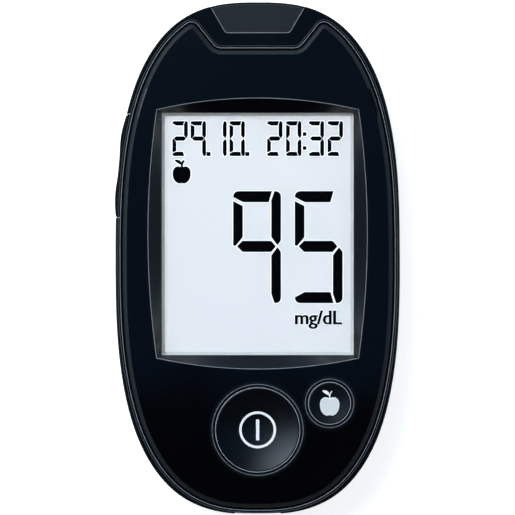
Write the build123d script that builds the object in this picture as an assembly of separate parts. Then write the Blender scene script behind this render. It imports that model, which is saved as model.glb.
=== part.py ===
from build123d import *
import math
import os

# Handheld blood glucose meter, lying on its flat back: +Z out of the display, +Y towards the
# test-strip port, +X to the right of someone reading it. Millimetres, origin under the middle.

# ---- Case -----------------------------------------------------------------------------------
LENGTH = 103.0
WIDTH = 57.2
THICKNESS = 22.0
CASE_SQUARENESS = 2.76      # exponent of the oval: 2 is an ellipse, more is squarer
OVAL_POINTS = 24            # places that each oval's smooth curve runs through
CROWN_RADIUS = 900.0        # the front is a shallow dome
BACK_ROUNDING = 3.0         # how far the flat back stands inside the widest line
WALL = 1.6
FLOOR = 1.6
RIM_STEP = 0.2              # the front moulding stands this far inside the rear one
SHOULDER_DRAFT = 0.3
TONGUE_WIDTH = 0.5
TONGUE_HEIGHT = 0.8
TONGUE_CLEARANCE = 0.12
TONGUE_PLACE = 0.75         # 1 would put the tongue flush with the wall's inner side
RIB_WIDTH = 1.0
RIB_HEIGHT = 1.2
RIB_SPACING = 9.0
RIB_STEP_ALONG = 14.0
RIB_FIRST = 9.8             # battery bay to the first cross rib
MATING_GAP = 0.05           # air left between pieces that only touch at a point or an edge
OVERCUT = 1.0               # how far a cutting shape runs past what it cuts
OVERLAP = 0.3               # how far a rib, post or boss is let into what carries it

# ---- Front panel ----------------------------------------------------------------------------
PANEL_THICKNESS = 2.0
PANEL_SIDE_INSET = 1.0      # case edge to the inside of the lip, at the sides
PANEL_END_INSET = 0.9
PANEL_SQUARENESS = 2.65
PANEL_GAP = 0.25
PANEL_BEVEL = 1.1
LIP_WIDTH = 0.4
LIP_DROP = 0.35             # lip below the crown of the panel
SHOULDER_DROP = 0.75
SHELF = 1.2                 # ledge of the front moulding under the panel
NOTCH_FROM_END = 9.35       # floor of the notch round the strip port
NOTCH_HALF_WIDTH = 8.3
NOTCH_ANGLE = 51.3
NOTCH_EAR_RADIUS = 1.7
NOTCH_FLOOR_RADIUS = 2.2

# ---- Display --------------------------------------------------------------------------------
WINDOW_FROM_SIDE = 9.35     # case edge to the display
WINDOW_FROM_TOP = 22.35
WINDOW_FROM_BOTTOM = 32.05
FLARE_SIDE = 2.75           # how far the sloped surround spreads by the time it reaches the face
FLARE_TOP = 2.95
FLARE_BOTTOM = 2.8
FLARE_CORNER_X = 1.0
FLARE_CORNER_Y = 0.62
FLARE_FOOT = 0.8            # straight wall at the foot of the slope
FLARE_EDGE = 0.15
LENS_THICKNESS = 1.0
LENS_MARGIN = 1.5
BEZEL_THICKNESS = 0.8
BEZEL_SLOPE = 0.6
GLASS_THICKNESS = 0.7
GLASS_MARGIN = 1.25
CONTACT_LEDGE = 2.3         # strip of the front glass that carries the display contacts
DIFFUSER_THICKNESS = 2.0
HOLDER_WALL = 1.0
HOLDER_CLEARANCE = 0.15
LIGHT_WELL_LEDGE = 1.5      # rim of the holder that carries the diffuser
STACK_CORNER = 1.0
ZEBRA_WIDTH = 1.6
ZEBRA_FROM_EDGE = 0.3
ZEBRA_CLEARANCE = 0.1
LED_SIZE = 1.6
LED_HEIGHT = 0.6

# ---- Buttons --------------------------------------------------------------------------------
POWER_FROM_END = 17.05
POWER_CAP_RADIUS = 8.55
MARKER_CAP_RADIUS = 4.3
BUTTON_BRIDGE = 2.52        # between the two caps, along the line that joins their middles
MARKER_BEARING = 20.3       # that line's angle above the horizontal
BUTTON_GAP = 0.25
BUTTON_MOUTH_FILLET = 0.35
BUTTON_PROUD = 0.15
BUTTON_EDGE = 0.3
DISH_RADIUS = 45.0
DISH_RIM = 0.39             # flat land round the dish, rounding included
CAP_WALL = 1.3
CAP_SKIN = 1.6
WEB_THICKNESS = 0.8
WEB_RISE = 0.6              # how far the webs inside the cap stop above its tabs
BUTTON_TRAVEL = 0.35
TAB_THICKNESS = 1.0
TAB_WIDTH = 3.6
TAB_REACH = 1.4
TAB_GAP = 0.1
POWER_TAB_STEP = 72.0
MARKER_TAB_STEP = 80.0
STEM_RADIUS = 1.6
DOME_RADIUS = 3.4
DOME_HEIGHT = BUTTON_TRAVEL + 0.1

# ---- Side key -------------------------------------------------------------------------------
KEY_MIDDLE_Y = 18.5
KEY_LENGTH = 20.9
KEY_SEAM = 0.25
KEY_THICKNESS = 1.45
KEY_BOTTOM_Z = 5.2
KEY_PAD_RISE = 0.3
KEY_PAD_SPACING = 12.5
KEY_PAD_LENGTH = 10.0
KEY_AXLE_RADIUS = 0.6
KEY_BARREL_RADIUS = 1.0
KEY_AXLE_INSET = 2.9
KEY_SPINE = 1.6             # web from the key to its axle
KEY_EDGE = 0.3
KEY_POCKET_DEPTH = 4.65     # room behind the key
PIN_BELOW = 1.2
PIN_ABOVE = 0.9
BEARING_WALL = 0.9
BEARING_HEIGHT = 2.0
AXLE_CLEARANCE = 0.05
SWITCH_WIDTH = 3.6
SWITCH_DEPTH = 2.0
SWITCH_HEIGHT = 1.6
SWITCH_CORNER = 0.2
NUB_LENGTH = 0.8
NUB_RADIUS = 0.55

# ---- Battery bay ----------------------------------------------------------------------------
BAY_FROM_SIDE = 6.2         # case edge to the battery door
CELL_THICKNESS = 3.2
CELL_GAP = 2.4              # between the two coin cells
CELL_CLEARANCE = 0.35
BAY_MIDDLE_Y = -12.0
BAY_WALL = 1.2
BRIDGE_SHARE = 0.6          # length of the passage between the cell seats, of their radius
CEILING = 1.1
CONTACT_ROOM = 0.8
DOOR_THICKNESS = 1.4
DOOR_RECESS = 0.1
DOOR_MARGIN_X = 1.2
DOOR_MARGIN_Y = 2.2
DOOR_CORNER = 3.0
DOOR_CLEARANCE = 0.15
CELL_ABOVE_DOOR = 0.4
HOOK_SPACING = 27.0
HOOK_WIDTH = 4.0
HOOK_THICKNESS = 0.7
HOOK_REACH = 1.4
HOOK_ROOT = 0.9
HOOK_ROOM = 0.3
HOOK_HEADROOM = 0.9
HOOK_POCKET = 2.6
LATCH_WIDTH = 8.0
LATCH_ROOM = 0.4
LATCH_THICKNESS = 0.7
LATCH_LENGTH = 3.3
LATCH_HEIGHT = 3.2
LATCH_BARB = 0.3
LATCH_FOLD = 0.6            # air between the fold's two legs
LATCH_BEND = 0.45
CELL_REST_RADIUS = 6.0      # ring on the door that the cell lies on
CELL_REST_WIDTH = 1.0
CAN_HEIGHT = 2.6            # coin cell up to its insulating ring
CAN_EDGE = 0.4
LID_INSET = 1.3
LID_EDGE = 0.25
LEAF = 0.25                 # sheet thickness of the battery contacts
LEAF_WIDTH = 3.0
LEAF_BEND = 0.3
LEAF_TAIL = 2.0             # cell's inner edge to the leaf's upright tail
LEAF_FLAT = 4.5
LEAF_LIFT = 0.3
SLOT_CLEARANCE = 0.15

# ---- Circuit board --------------------------------------------------------------------------
BOARD_THICKNESS = 1.2
BOARD_INSET = 2.4
BOARD_ABOVE_BAY = 2.0
CHIP_SIZE = 10.0
CHIP_HEIGHT = 1.4
CHIP_FROM_BAY = 8.5
BUZZER_RADIUS = 4.5
BUZZER_HEIGHT = 2.5
BUZZER_HOLE = 0.8
BUZZER_FROM_NOTCH = 20.0
MEMORY_WIDTH = 5.0
MEMORY_DEPTH = 4.0
MEMORY_HEIGHT = 1.2
MEMORY_PLACE = (-9.5, 3.0)  # from the display's middle
CRYSTAL_LENGTH = 3.2
CRYSTAL_WIDTH = 1.6
CRYSTAL_HEIGHT = 0.9
CRYSTAL_CORNER = 0.6
CRYSTAL_PLACE = (8.6, -2.2)
PASSIVE_LENGTH = 1.6
PASSIVE_WIDTH = 0.8
PASSIVE_HEIGHT = 0.5
PASSIVE_PITCH = 3.2
PASSIVE_ROW_PITCH = 4.0
PASSIVE_COLUMNS = 6
PASSIVE_ROWS = 2
USB_WIDTH = 7.5
USB_HEIGHT = 2.6
USB_DEPTH = 5.6
USB_SHEET = 0.3
USB_INSET = 0.7
USB_CUT = 0.9               # slope at the socket's lower corners
USB_HEADROOM = 0.2
USB_NOTCH_MARGIN = 0.4
USB_MOUTH_MARGIN = 1.05     # the notch widens to this at the outside of the case
USB_SCOOP_Z = 4.0           # the hollow below the socket starts here
USB_TONGUE = 0.6
USB_ROOT = 1.2
STRIP_WIDTH = 6.8
STRIP_SLOT = 1.2
STRIP_ABOVE_BOARD = 1.9
CONNECTOR_WIDTH = 13.0
CONNECTOR_DEPTH = 10.4
CONNECTOR_HEIGHT = 3.4
CONNECTOR_GAP = 0.2
CONNECTOR_EDGE = 0.4
CONNECTOR_PINS = 5
PIN_PITCH = 1.2
PIN_WIDTH = 0.5
PIN_SHEET = 0.2
PIN_GROOVE = 0.65
PIN_BENDS = (0.3, 0.65, 0.8)    # where a strip contact bends, along the connector
PORT_END_WIDTH = 19.0       # strip port block at the end of the case
PORT_INNER_WIDTH = 13.0
PORT_DEPTH = 6.45
PORT_TAPER = 5.15           # length over which the block widens from one to the other
PORT_CORNER = 0.9
PORT_EDGE = 0.15
PORT_CLEARANCE = 0.1
PORT_PROUD = 0.1
MOUTH_DEPTH = 2.2
MOUTH_WIDENING = 3.0
MOUTH_HEIGHTENING = 1.6

# ---- Screws ---------------------------------------------------------------------------------
SCREW_FROM_SIDE = 12.6
SCREW_FROM_END = 13.0
SCREW_RADIUS = 1.0
SCREW_HEAD_RADIUS = 2.0
SCREW_HEAD_HEIGHT = 1.3
SCREW_LENGTH = 12.0
SCREW_SEAT_Z = 3.0
SCREW_SEAT = 1.5            # floor between the screw's head and its post
SCREW_CLEARANCE = 0.15
HEAD_CLEARANCE = 0.2
POST_CLEARANCE = 0.1
POST_RADIUS = 2.2
CROSS_ARM = 0.3             # width of a cross recess's arms, as a share of the head's radius
TUBE_RADIUS = 3.3
BOARD_SCREW_RADIUS = 0.7
BOARD_SCREW_HEAD = 1.4
BOARD_SCREW_HEAD_HEIGHT = 0.8
BOARD_POST_RADIUS = 1.5
BOARD_SCREW_LENGTH = 4.0
BOARD_SCREW_X = 10.3
BOARD_SCREW_FROM_NOTCH = 7.6
LOWER_BOARD_SCREW_X = 15.5
LOWER_BOARD_SCREW_RISE = 7.0


def crown_height(x, y):
    """Height of the domed front over a place in plan."""
    return THICKNESS - CROWN_RADIUS + math.sqrt(CROWN_RADIUS**2 - x * x - y * y)


# ---- Heights worked out from the stack ------------------------------------------------------
DOOR_TOP = DOOR_RECESS + DOOR_THICKNESS
CELL_Z = DOOR_TOP + CELL_ABOVE_DOOR
CELL_TOP = CELL_Z + CELL_THICKNESS
CEILING_Z = CELL_TOP + CONTACT_ROOM
BAY_TOP = CEILING_Z + CEILING
BOARD_Z = BAY_TOP + BOARD_ABOVE_BAY
BOARD_TOP = BOARD_Z + BOARD_THICKNESS
SPLIT_Z = BOARD_TOP + USB_HEIGHT + USB_HEADROOM
WINDOW_WIDTH = WIDTH - 2 * WINDOW_FROM_SIDE
WINDOW_HEIGHT = LENGTH - WINDOW_FROM_TOP - WINDOW_FROM_BOTTOM
WINDOW_Y = (WINDOW_FROM_BOTTOM - WINDOW_FROM_TOP) / 2
LENS_WIDTH = WINDOW_WIDTH + 2 * LENS_MARGIN
LENS_HEIGHT = WINDOW_HEIGHT + 2 * LENS_MARGIN
LENS_CORNER = (LENS_WIDTH / 2, WINDOW_Y + LENS_HEIGHT / 2)
LENS_TOP = crown_height(*LENS_CORNER) - PANEL_THICKNESS
LENS_Z = LENS_TOP - LENS_THICKNESS
BEZEL_Z = LENS_Z - BEZEL_THICKNESS
GLASS_Z = BEZEL_Z - GLASS_THICKNESS
REAR_GLASS_Z = GLASS_Z - GLASS_THICKNESS
DIFFUSER_Z = REAR_GLASS_Z - DIFFUSER_THICKNESS
STRIP_Z = BOARD_TOP + STRIP_ABOVE_BOARD
ABOVE = THICKNESS + 3.0     # safely clear of the crown, for cutting

# ---- Places in plan -------------------------------------------------------------------------
POWER_Y = -LENGTH / 2 + POWER_FROM_END
MARKER_SPACING = POWER_CAP_RADIUS + MARKER_CAP_RADIUS + BUTTON_BRIDGE
MARKER_X = MARKER_SPACING * math.cos(math.radians(MARKER_BEARING))
MARKER_Y = POWER_Y + MARKER_SPACING * math.sin(math.radians(MARKER_BEARING))
SCREW_X = WIDTH / 2 - SCREW_FROM_SIDE
SCREW_Y = LENGTH / 2 - SCREW_FROM_END
NOTCH_Y = LENGTH / 2 - NOTCH_FROM_END
PORT_Y = LENGTH / 2 - PORT_DEPTH
DOOR_HALF_X = WIDTH / 2 - BAY_FROM_SIDE
CELL_RADIUS = (DOOR_HALF_X - DOOR_MARGIN_X - CELL_GAP / 2) / 2
CELL_SPACING = 2 * CELL_RADIUS + CELL_GAP
DOOR_HALF_Y = CELL_RADIUS + DOOR_MARGIN_Y
HOLDER_WIDTH = LENS_WIDTH + 2 * HOLDER_WALL
HOLDER_HEIGHT = LENS_HEIGHT + 2 * HOLDER_WALL
SCREW_PLACES = [(sx * SCREW_X, sy * SCREW_Y) for sx in (-1, 1) for sy in (-1, 1)]
BOARD_SCREW_PLACES = [
    (-BOARD_SCREW_X, NOTCH_Y - BOARD_SCREW_FROM_NOTCH),
    (BOARD_SCREW_X, NOTCH_Y - BOARD_SCREW_FROM_NOTCH),
    (-LOWER_BOARD_SCREW_X, POWER_Y + LOWER_BOARD_SCREW_RISE),
]
KEY_PLACES = (KEY_MIDDLE_Y + KEY_PAD_SPACING / 2, KEY_MIDDLE_Y - KEY_PAD_SPACING / 2)


# ---- Shared shapes --------------------------------------------------------------------------
def block(x0, x1, y0, y1, z0, z1):
    """Box between two corners."""
    middle = Pos((x0 + x1) / 2, (y0 + y1) / 2, (z0 + z1) / 2)
    return middle * Box(x1 - x0, y1 - y0, z1 - z0)


def disc(x, y, radius, z0, z1):
    """Upright cylinder."""
    return Pos(x, y, (z0 + z1) / 2) * Cylinder(radius, z1 - z0)


def plate(width, height, radius, z0, z1, x=0.0, y=0.0):
    """Rounded rectangle with a thickness."""
    return Pos(x, y, z0) * extrude(RectangleRounded(width, height, radius), z1 - z0)


def oval(half_width, half_length, squareness):
    """The case's oval, |x/a|^n + |y/b|^n = 1, as one smooth closed curve."""
    points = []
    for index in range(OVAL_POINTS):
        angle = 2 * math.pi * index / OVAL_POINTS
        across, along = math.cos(angle), math.sin(angle)
        reach = (abs(across) ** squareness + abs(along) ** squareness) ** (-1 / squareness)
        points.append((half_width * across * reach, half_length * along * reach))
    return make_face(Spline(points, periodic=True))


def case_oval(inset):
    """The case's outline, moved inwards."""
    return oval(WIDTH / 2 - inset, LENGTH / 2 - inset, CASE_SQUARENESS)


def case_reach(y):
    """Half width of the case at a place along its length."""
    return WIDTH / 2 * (1 - abs(2 * y / LENGTH) ** CASE_SQUARENESS) ** (1 / CASE_SQUARENESS)


def crown(drop):
    """Everything under the domed front, lowered by drop."""
    return Pos(0, 0, THICKNESS - CROWN_RADIUS) * Rot(90, 0, 0) * Sphere(CROWN_RADIUS - drop)


def upright_edges(shape, low, high, reach):
    """Tall edges of a prism between two places along Y and within a reach of the middle."""
    found = []
    for edge in shape.edges():
        place = edge.center()
        tall = edge.bounding_box().size.Z > 4
        if tall and low < place.Y < high and abs(place.X) < reach:
            found.append(edge)
    return found


# ---- Case mouldings -------------------------------------------------------------------------
def rear_inset(z):
    """How far the rear moulding curves in towards its flat back."""
    return BACK_ROUNDING * (1 - z / SPLIT_Z) ** 3.5


def tongue_inset():
    """Outer side of the tongue that keys the two mouldings together."""
    return (WALL - TONGUE_WIDTH) * TONGUE_PLACE


def rear_form(inset, z0):
    """Bowl between the flat back and the parting line."""
    sections = []
    for share in (0, 0.06, 0.15, 0.3, 0.5, 0.75, 1):
        z = z0 + (SPLIT_Z - z0) * share
        sections.append(Pos(0, 0, z) * case_oval(inset + rear_inset(z)))
    return loft(sections)


def front_form(inset):
    """Side wall of the front moulding, drawn in slightly towards the top."""
    heights = (SPLIT_Z, (SPLIT_Z + ABOVE) / 2, ABOVE)
    drafts = (0, SHOULDER_DRAFT / 4, SHOULDER_DRAFT)
    sections = [Pos(0, 0, z) * case_oval(inset + d) for z, d in zip(heights, drafts)]
    return loft(sections)


def panel_blank(grow):
    """Upright prism of the panel's outline, with its notch round the strip port."""
    prism = extrude(
        oval(
            WIDTH / 2 - PANEL_SIDE_INSET + grow,
            LENGTH / 2 - PANEL_END_INSET + grow,
            PANEL_SQUARENESS,
        ),
        ABOVE - SPLIT_Z,
    )
    slope = math.radians(NOTCH_ANGLE)
    foot_x = NOTCH_HALF_WIDTH - grow * math.tan(slope / 2)
    foot_y = NOTCH_Y + grow
    top_y = LENGTH / 2 + 1
    top_x = foot_x + (top_y - foot_y) / math.tan(slope)
    corners = [(-top_x, top_y), (-foot_x, foot_y), (foot_x, foot_y), (top_x, top_y)]
    notch = extrude(make_face(Polyline(corners, close=True)), ABOVE - SPLIT_Z)
    prism = prism - notch
    ears = upright_edges(prism, NOTCH_Y + 2, LENGTH / 2, WIDTH / 3)
    prism = fillet(ears, NOTCH_EAR_RADIUS + grow)
    feet = upright_edges(prism, NOTCH_Y - 1, NOTCH_Y + 2, NOTCH_HALF_WIDTH + 0.5)
    prism = fillet(feet, NOTCH_FLOOR_RADIUS - grow)
    return Pos(0, 0, SPLIT_Z) * prism


def port_prism(grow, z0):
    """Tapering block of the strip port, open towards the end of the case."""
    inner = PORT_INNER_WIDTH / 2
    end = PORT_END_WIDTH / 2
    slope = (end - inner) / PORT_TAPER
    far_y = LENGTH / 2 + 2 * OVERCUT
    far_x = inner + slope * (far_y - PORT_Y)
    widen = grow * math.hypot(1, slope)
    inner_y = PORT_Y - grow
    inner_x = inner + widen - slope * grow
    far_x = far_x + widen
    corners = [(-far_x, far_y), (-inner_x, inner_y), (inner_x, inner_y), (far_x, far_y)]
    prism = extrude(make_face(Polyline(corners, close=True)), ABOVE - z0)
    prism = fillet(upright_edges(prism, inner_y - 1, inner_y + 1, inner + 2), PORT_CORNER + grow)
    return Pos(0, 0, z0) * prism


def key_window(grow):
    """Space that the side key takes out of the rear moulding's wall."""
    half = KEY_LENGTH / 2 + grow
    low = KEY_MIDDLE_Y - half
    high = KEY_MIDDLE_Y + half
    inner = -WIDTH / 2 + KEY_POCKET_DEPTH
    return block(-WIDTH, inner, low, high, KEY_BOTTOM_Z - grow, SPLIT_Z + TONGUE_HEIGHT + OVERCUT)


def key_axle_place():
    """Where the side key's upright axle stands."""
    return -case_reach(KEY_MIDDLE_Y) + KEY_AXLE_INSET, KEY_MIDDLE_Y


def usb_notch():
    """Opening in the bottom rim for the data socket, and the hollow for a finger under it."""
    throat = USB_WIDTH / 2 + USB_NOTCH_MARGIN
    mouth = USB_WIDTH / 2 + USB_MOUTH_MARGIN
    end = -LENGTH / 2
    step = end + USB_INSET
    corners = [(-mouth, end - OVERCUT), (-mouth, end), (-throat, step), (throat, step), (mouth, end)]
    flared = make_face(Polyline(corners + [(mouth, end - OVERCUT)], close=True))
    high = SPLIT_Z + TONGUE_HEIGHT + OVERCUT
    hollow = Pos(0, 0, USB_SCOOP_Z) * extrude(flared, high - USB_SCOOP_Z)
    return hollow + block(-throat, throat, end, end + 2 * WALL, BOARD_TOP - USB_HEADROOM, high)


def bay_block():
    """Solid that surrounds the battery bay."""
    half_x = DOOR_HALF_X + BAY_WALL
    half_y = DOOR_HALF_Y + BAY_WALL
    return plate(2 * half_x, 2 * half_y, DOOR_CORNER + BAY_WALL, 0, BAY_TOP, y=BAY_MIDDLE_Y)


def bay_hollow():
    """Two round cell seats, the bridge between them, and the pockets of the door's catches."""
    low = DOOR_TOP
    seats = None
    for side in (-1, 1):
        seat = disc(side * CELL_SPACING / 2, BAY_MIDDLE_Y, CELL_RADIUS + CELL_CLEARANCE, low, CEILING_Z)
        edge = side * (CELL_SPACING / 2 + CELL_RADIUS)
        leaf_y = LEAF_WIDTH / 2 + 2 * SLOT_CLEARANCE
        rim = block(edge - 1, edge + 1, BAY_MIDDLE_Y - leaf_y, BAY_MIDDLE_Y + leaf_y, low, CEILING_Z)
        seats = seat + rim if seats is None else seats + seat + rim
    bridge_y = CELL_RADIUS * BRIDGE_SHARE
    bridge = block(-CELL_SPACING / 4, CELL_SPACING / 4, BAY_MIDDLE_Y - bridge_y,
                   BAY_MIDDLE_Y + bridge_y, low, CEILING_Z)
    return seats + bridge + latch_pocket() + hook_pockets()


def latch_pocket():
    """Room for the spring latch and the sill that its barb catches."""
    half = LATCH_WIDTH / 2 + LATCH_ROOM
    edge = BAY_MIDDLE_Y - DOOR_HALF_Y - DOOR_CLEARANCE
    inner = edge + LATCH_LENGTH + 3 * LATCH_ROOM
    top = DOOR_TOP + LATCH_HEIGHT
    pocket = block(-half, half, edge - LATCH_BARB - LATCH_ROOM / 2, inner, FLOOR, top)
    return pocket + block(-half, half, edge, inner, DOOR_TOP, FLOOR + MATING_GAP)


def hook_pockets():
    """Room above the edge of the door opening for its two hooks."""
    edge = BAY_MIDDLE_Y + DOOR_HALF_Y + DOOR_CLEARANCE
    half = HOOK_WIDTH / 2 + HOOK_ROOM
    top = FLOOR + HOOK_THICKNESS + HOOK_HEADROOM
    inner = edge - HOOK_POCKET
    pockets = None
    for side in (-1, 1):
        x = side * HOOK_SPACING / 2
        pocket = block(x - half, x + half, inner, edge + HOOK_REACH + HOOK_ROOM, FLOOR, top)
        pocket = pocket + block(x - half, x + half, inner, edge, DOOR_TOP, FLOOR + MATING_GAP)
        pockets = pocket if pockets is None else pockets + pocket
    return pockets


def make_rear_housing():
    outer = rear_form(0, 0)
    inside = rear_form(WALL, FLOOR)
    shell = outer - inside
    tongue = case_oval(tongue_inset()) - case_oval(tongue_inset() + TONGUE_WIDTH)
    shell = shell + Pos(0, 0, SPLIT_Z) * extrude(tongue, TONGUE_HEIGHT)
    shell = shell + (bay_block() & outer)
    for x, y in SCREW_PLACES:
        shell = shell + (disc(x, y, TUBE_RADIUS, 0, BOARD_Z - MATING_GAP) & outer)
    shell = shell + rear_ribs()
    axle_x, axle_y = key_axle_place()
    pedestal_top = KEY_BOTTOM_Z - KEY_SEAM
    pedestal = disc(axle_x, axle_y, KEY_BARREL_RADIUS + BEARING_WALL, FLOOR / 2, pedestal_top)
    shell = shell + (pedestal & outer)
    door_hole = plate(
        2 * (DOOR_HALF_X + DOOR_CLEARANCE), 2 * (DOOR_HALF_Y + DOOR_CLEARANCE),
        DOOR_CORNER + DOOR_CLEARANCE, -OVERCUT, DOOR_TOP + MATING_GAP, y=BAY_MIDDLE_Y,
    )
    shell = shell - door_hole - bay_hollow() - contact_slots()
    for x, y in SCREW_PLACES:
        post_foot = SCREW_SEAT_Z + SCREW_SEAT
        shell = shell - disc(x, y, SCREW_HEAD_RADIUS + HEAD_CLEARANCE, -OVERCUT, SCREW_SEAT_Z)
        shell = shell - disc(x, y, POST_RADIUS + POST_CLEARANCE, post_foot, BOARD_Z + OVERCUT)
        shell = shell - disc(x, y, SCREW_RADIUS + SCREW_CLEARANCE, 0, BOARD_Z)
    shell = shell - key_window(0) - usb_notch() - port_prism(PORT_CLEARANCE, BOARD_TOP)
    axle_hole = KEY_AXLE_RADIUS + AXLE_CLEARANCE
    hole_floor = KEY_BOTTOM_Z - PIN_BELOW - TAB_GAP
    return shell - disc(axle_x, axle_y, axle_hole, hole_floor, SPLIT_Z)


def rear_ribs():
    """Stiffening ribs on the floor, clear of the battery bay."""
    low_y = BAY_MIDDLE_Y + DOOR_HALF_Y + BAY_WALL - OVERLAP
    high_y = SCREW_Y + TUBE_RADIUS
    top = FLOOR + RIB_HEIGHT
    half = RIB_WIDTH / 2
    reach = 2 * RIB_SPACING
    ribs = block(-half, half, low_y, high_y, FLOOR / 2, top)
    for x in (-RIB_SPACING, RIB_SPACING):
        ribs = ribs + block(x - half, x + half, low_y, high_y, FLOOR / 2, top)
    for y in (low_y + RIB_FIRST, low_y + RIB_FIRST + RIB_STEP_ALONG):
        ribs = ribs + block(-reach, reach, y - half, y + half, FLOOR / 2, top)
    return ribs


def contact_slots():
    """Slots in the bay's ceiling for the contact leaves."""
    slots = None
    for side in (-1, 1):
        for x in (negative_tail_x(), positive_leaf_x()):
            half = LEAF / 2 + SLOT_CLEARANCE
            wide = LEAF_WIDTH / 2 + SLOT_CLEARANCE
            slot = block(side * x - half, side * x + half, BAY_MIDDLE_Y - wide,
                         BAY_MIDDLE_Y + wide, CEILING_Z - OVERLAP, BAY_TOP + OVERCUT)
            slots = slot if slots is None else slots + slot
    return slots


def button_places():
    """Centre and cap radius of the two face buttons."""
    return ((0.0, POWER_Y, POWER_CAP_RADIUS), (MARKER_X, MARKER_Y, MARKER_CAP_RADIUS))


def make_front_housing():
    body = front_form(RIM_STEP) & crown(LIP_DROP)
    lip = panel_blank(LIP_WIDTH)
    outside = block(-WIDTH, WIDTH, -LENGTH, LENGTH, SPLIT_Z + TONGUE_HEIGHT + OVERCUT, ABOVE) - lip
    body = body - (outside - crown(SHOULDER_DROP))
    body = body - (panel_blank(0) - crown(PANEL_THICKNESS))
    body = body - (front_form(WALL) & crown(PANEL_THICKNESS + SHELF))
    rebate = extrude(case_oval(tongue_inset() - TONGUE_CLEARANCE), TONGUE_HEIGHT + TONGUE_CLEARANCE)
    body = body - Pos(0, 0, SPLIT_Z) * rebate
    body = body + front_posts()
    room = 2 * HOLDER_CLEARANCE
    window = plate(HOLDER_WIDTH + room, HOLDER_HEIGHT + room, STACK_CORNER, SPLIT_Z, ABOVE, y=WINDOW_Y)
    body = body - window - port_prism(MATING_GAP, SPLIT_Z)
    for x, y, radius in button_places():
        body = body - disc(x, y, radius + BUTTON_GAP, SPLIT_Z, ABOVE)
    return body


def post_top(x, y, drop):
    """Height of the shelf's underside over a place."""
    return crown_height(x, y) - PANEL_THICKNESS - drop


def front_posts():
    """Posts that take the case screws and the board screws, and the key's upper bearing."""
    posts = None
    for x, y in SCREW_PLACES:
        foot = SCREW_SEAT_Z + SCREW_SEAT + POST_CLEARANCE
        post = disc(x, y, POST_RADIUS, foot, post_top(x, y, SHELF / 2))
        end = SCREW_SEAT_Z + SCREW_LENGTH + OVERCUT
        post = post - disc(x, y, SCREW_RADIUS + MATING_GAP, SCREW_SEAT_Z, end)
        posts = post if posts is None else posts + post
    for x, y in BOARD_SCREW_PLACES:
        post = disc(x, y, BOARD_POST_RADIUS, BOARD_TOP, post_top(x, y, SHELF / 2))
        bore = BOARD_SCREW_RADIUS + MATING_GAP
        posts = posts + (post - disc(x, y, bore, BOARD_TOP - OVERCUT, BOARD_TOP + BOARD_SCREW_LENGTH))
    x, y = key_axle_place()
    half = KEY_AXLE_RADIUS + BEARING_WALL
    wall = -case_reach(y) + WALL - OVERLAP
    low = SPLIT_Z + KEY_SEAM
    bearing = block(wall, x + half, y - half, y + half, low, low + BEARING_HEIGHT)
    hole_top = SPLIT_Z + KEY_SEAM + PIN_ABOVE + TAB_GAP
    return posts + (bearing - disc(x, y, KEY_AXLE_RADIUS + AXLE_CLEARANCE, low - OVERCUT, hole_top))


# ---- Front panel ----------------------------------------------------------------------------
def flare_cut():
    """Sloped recess round the display: bowed edges on the face, a rectangle at its foot."""
    foot_z = LENS_TOP + FLARE_FOOT
    half_x, half_y = WINDOW_WIDTH / 2, WINDOW_HEIGHT / 2

    def carried(foot, spread):
        """Line from foot through its place on the domed face, carried on above it."""
        x, y = foot[0] + spread[0], foot[1] + spread[1]
        share = (ABOVE - foot_z) / (crown_height(x, y) - foot_z)
        return foot[0] + spread[0] * share, foot[1] + spread[1] * share

    top_y, low_y = WINDOW_Y + half_y, WINDOW_Y - half_y
    top = carried((0, top_y), (0, FLARE_TOP))
    low = carried((0, low_y), (0, -FLARE_BOTTOM))
    right = carried((half_x, WINDOW_Y), (FLARE_SIDE, 0))
    top_right = carried((half_x, top_y), (FLARE_CORNER_X, FLARE_CORNER_Y))
    low_right = carried((half_x, low_y), (FLARE_CORNER_X, -FLARE_CORNER_Y))
    left, top_left, low_left = [(-p[0], p[1]) for p in (right, top_right, low_right)]
    bowed = make_face(
        [
            ThreePointArc(low_right, right, top_right),
            ThreePointArc(top_right, top, top_left),
            ThreePointArc(top_left, left, low_left),
            ThreePointArc(low_left, low, low_right),
        ]
    )
    corners = [(half_x, low_y), (half_x, top_y), (-half_x, top_y), (-half_x, low_y)]
    foot = make_face(Polyline(corners, close=True))
    slope = loft([Pos(0, 0, foot_z) * foot, Pos(0, 0, ABOVE) * bowed], ruled=True)
    straight = block(-half_x, half_x, low_y, top_y, SPLIT_Z, foot_z)
    return slope + straight


def face_rims(panel, round_ones):
    """Edges of the openings in the domed face: the button mouths, or the display's slope."""
    face = panel.faces().sort_by(Axis.Z)[-1]
    found = []
    for wire in face.inner_wires():
        if (len(wire.edges()) < 4) == round_ones:
            found.extend(wire.edges())
    return found


def make_front_panel():
    panel = (panel_blank(-PANEL_GAP) & crown(0)) - crown(PANEL_THICKNESS - MATING_GAP)
    for x, y, radius in button_places():
        panel = panel - disc(x, y, radius + BUTTON_GAP, SPLIT_Z, ABOVE)
    panel = panel - flare_cut()
    panel = fillet(face_rims(panel, False), FLARE_EDGE)
    panel = fillet(face_rims(panel, True), BUTTON_MOUTH_FILLET)
    face = panel.faces().sort_by(Axis.Z)[-1]
    return fillet(face.outer_wire().edges(), PANEL_BEVEL)


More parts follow.
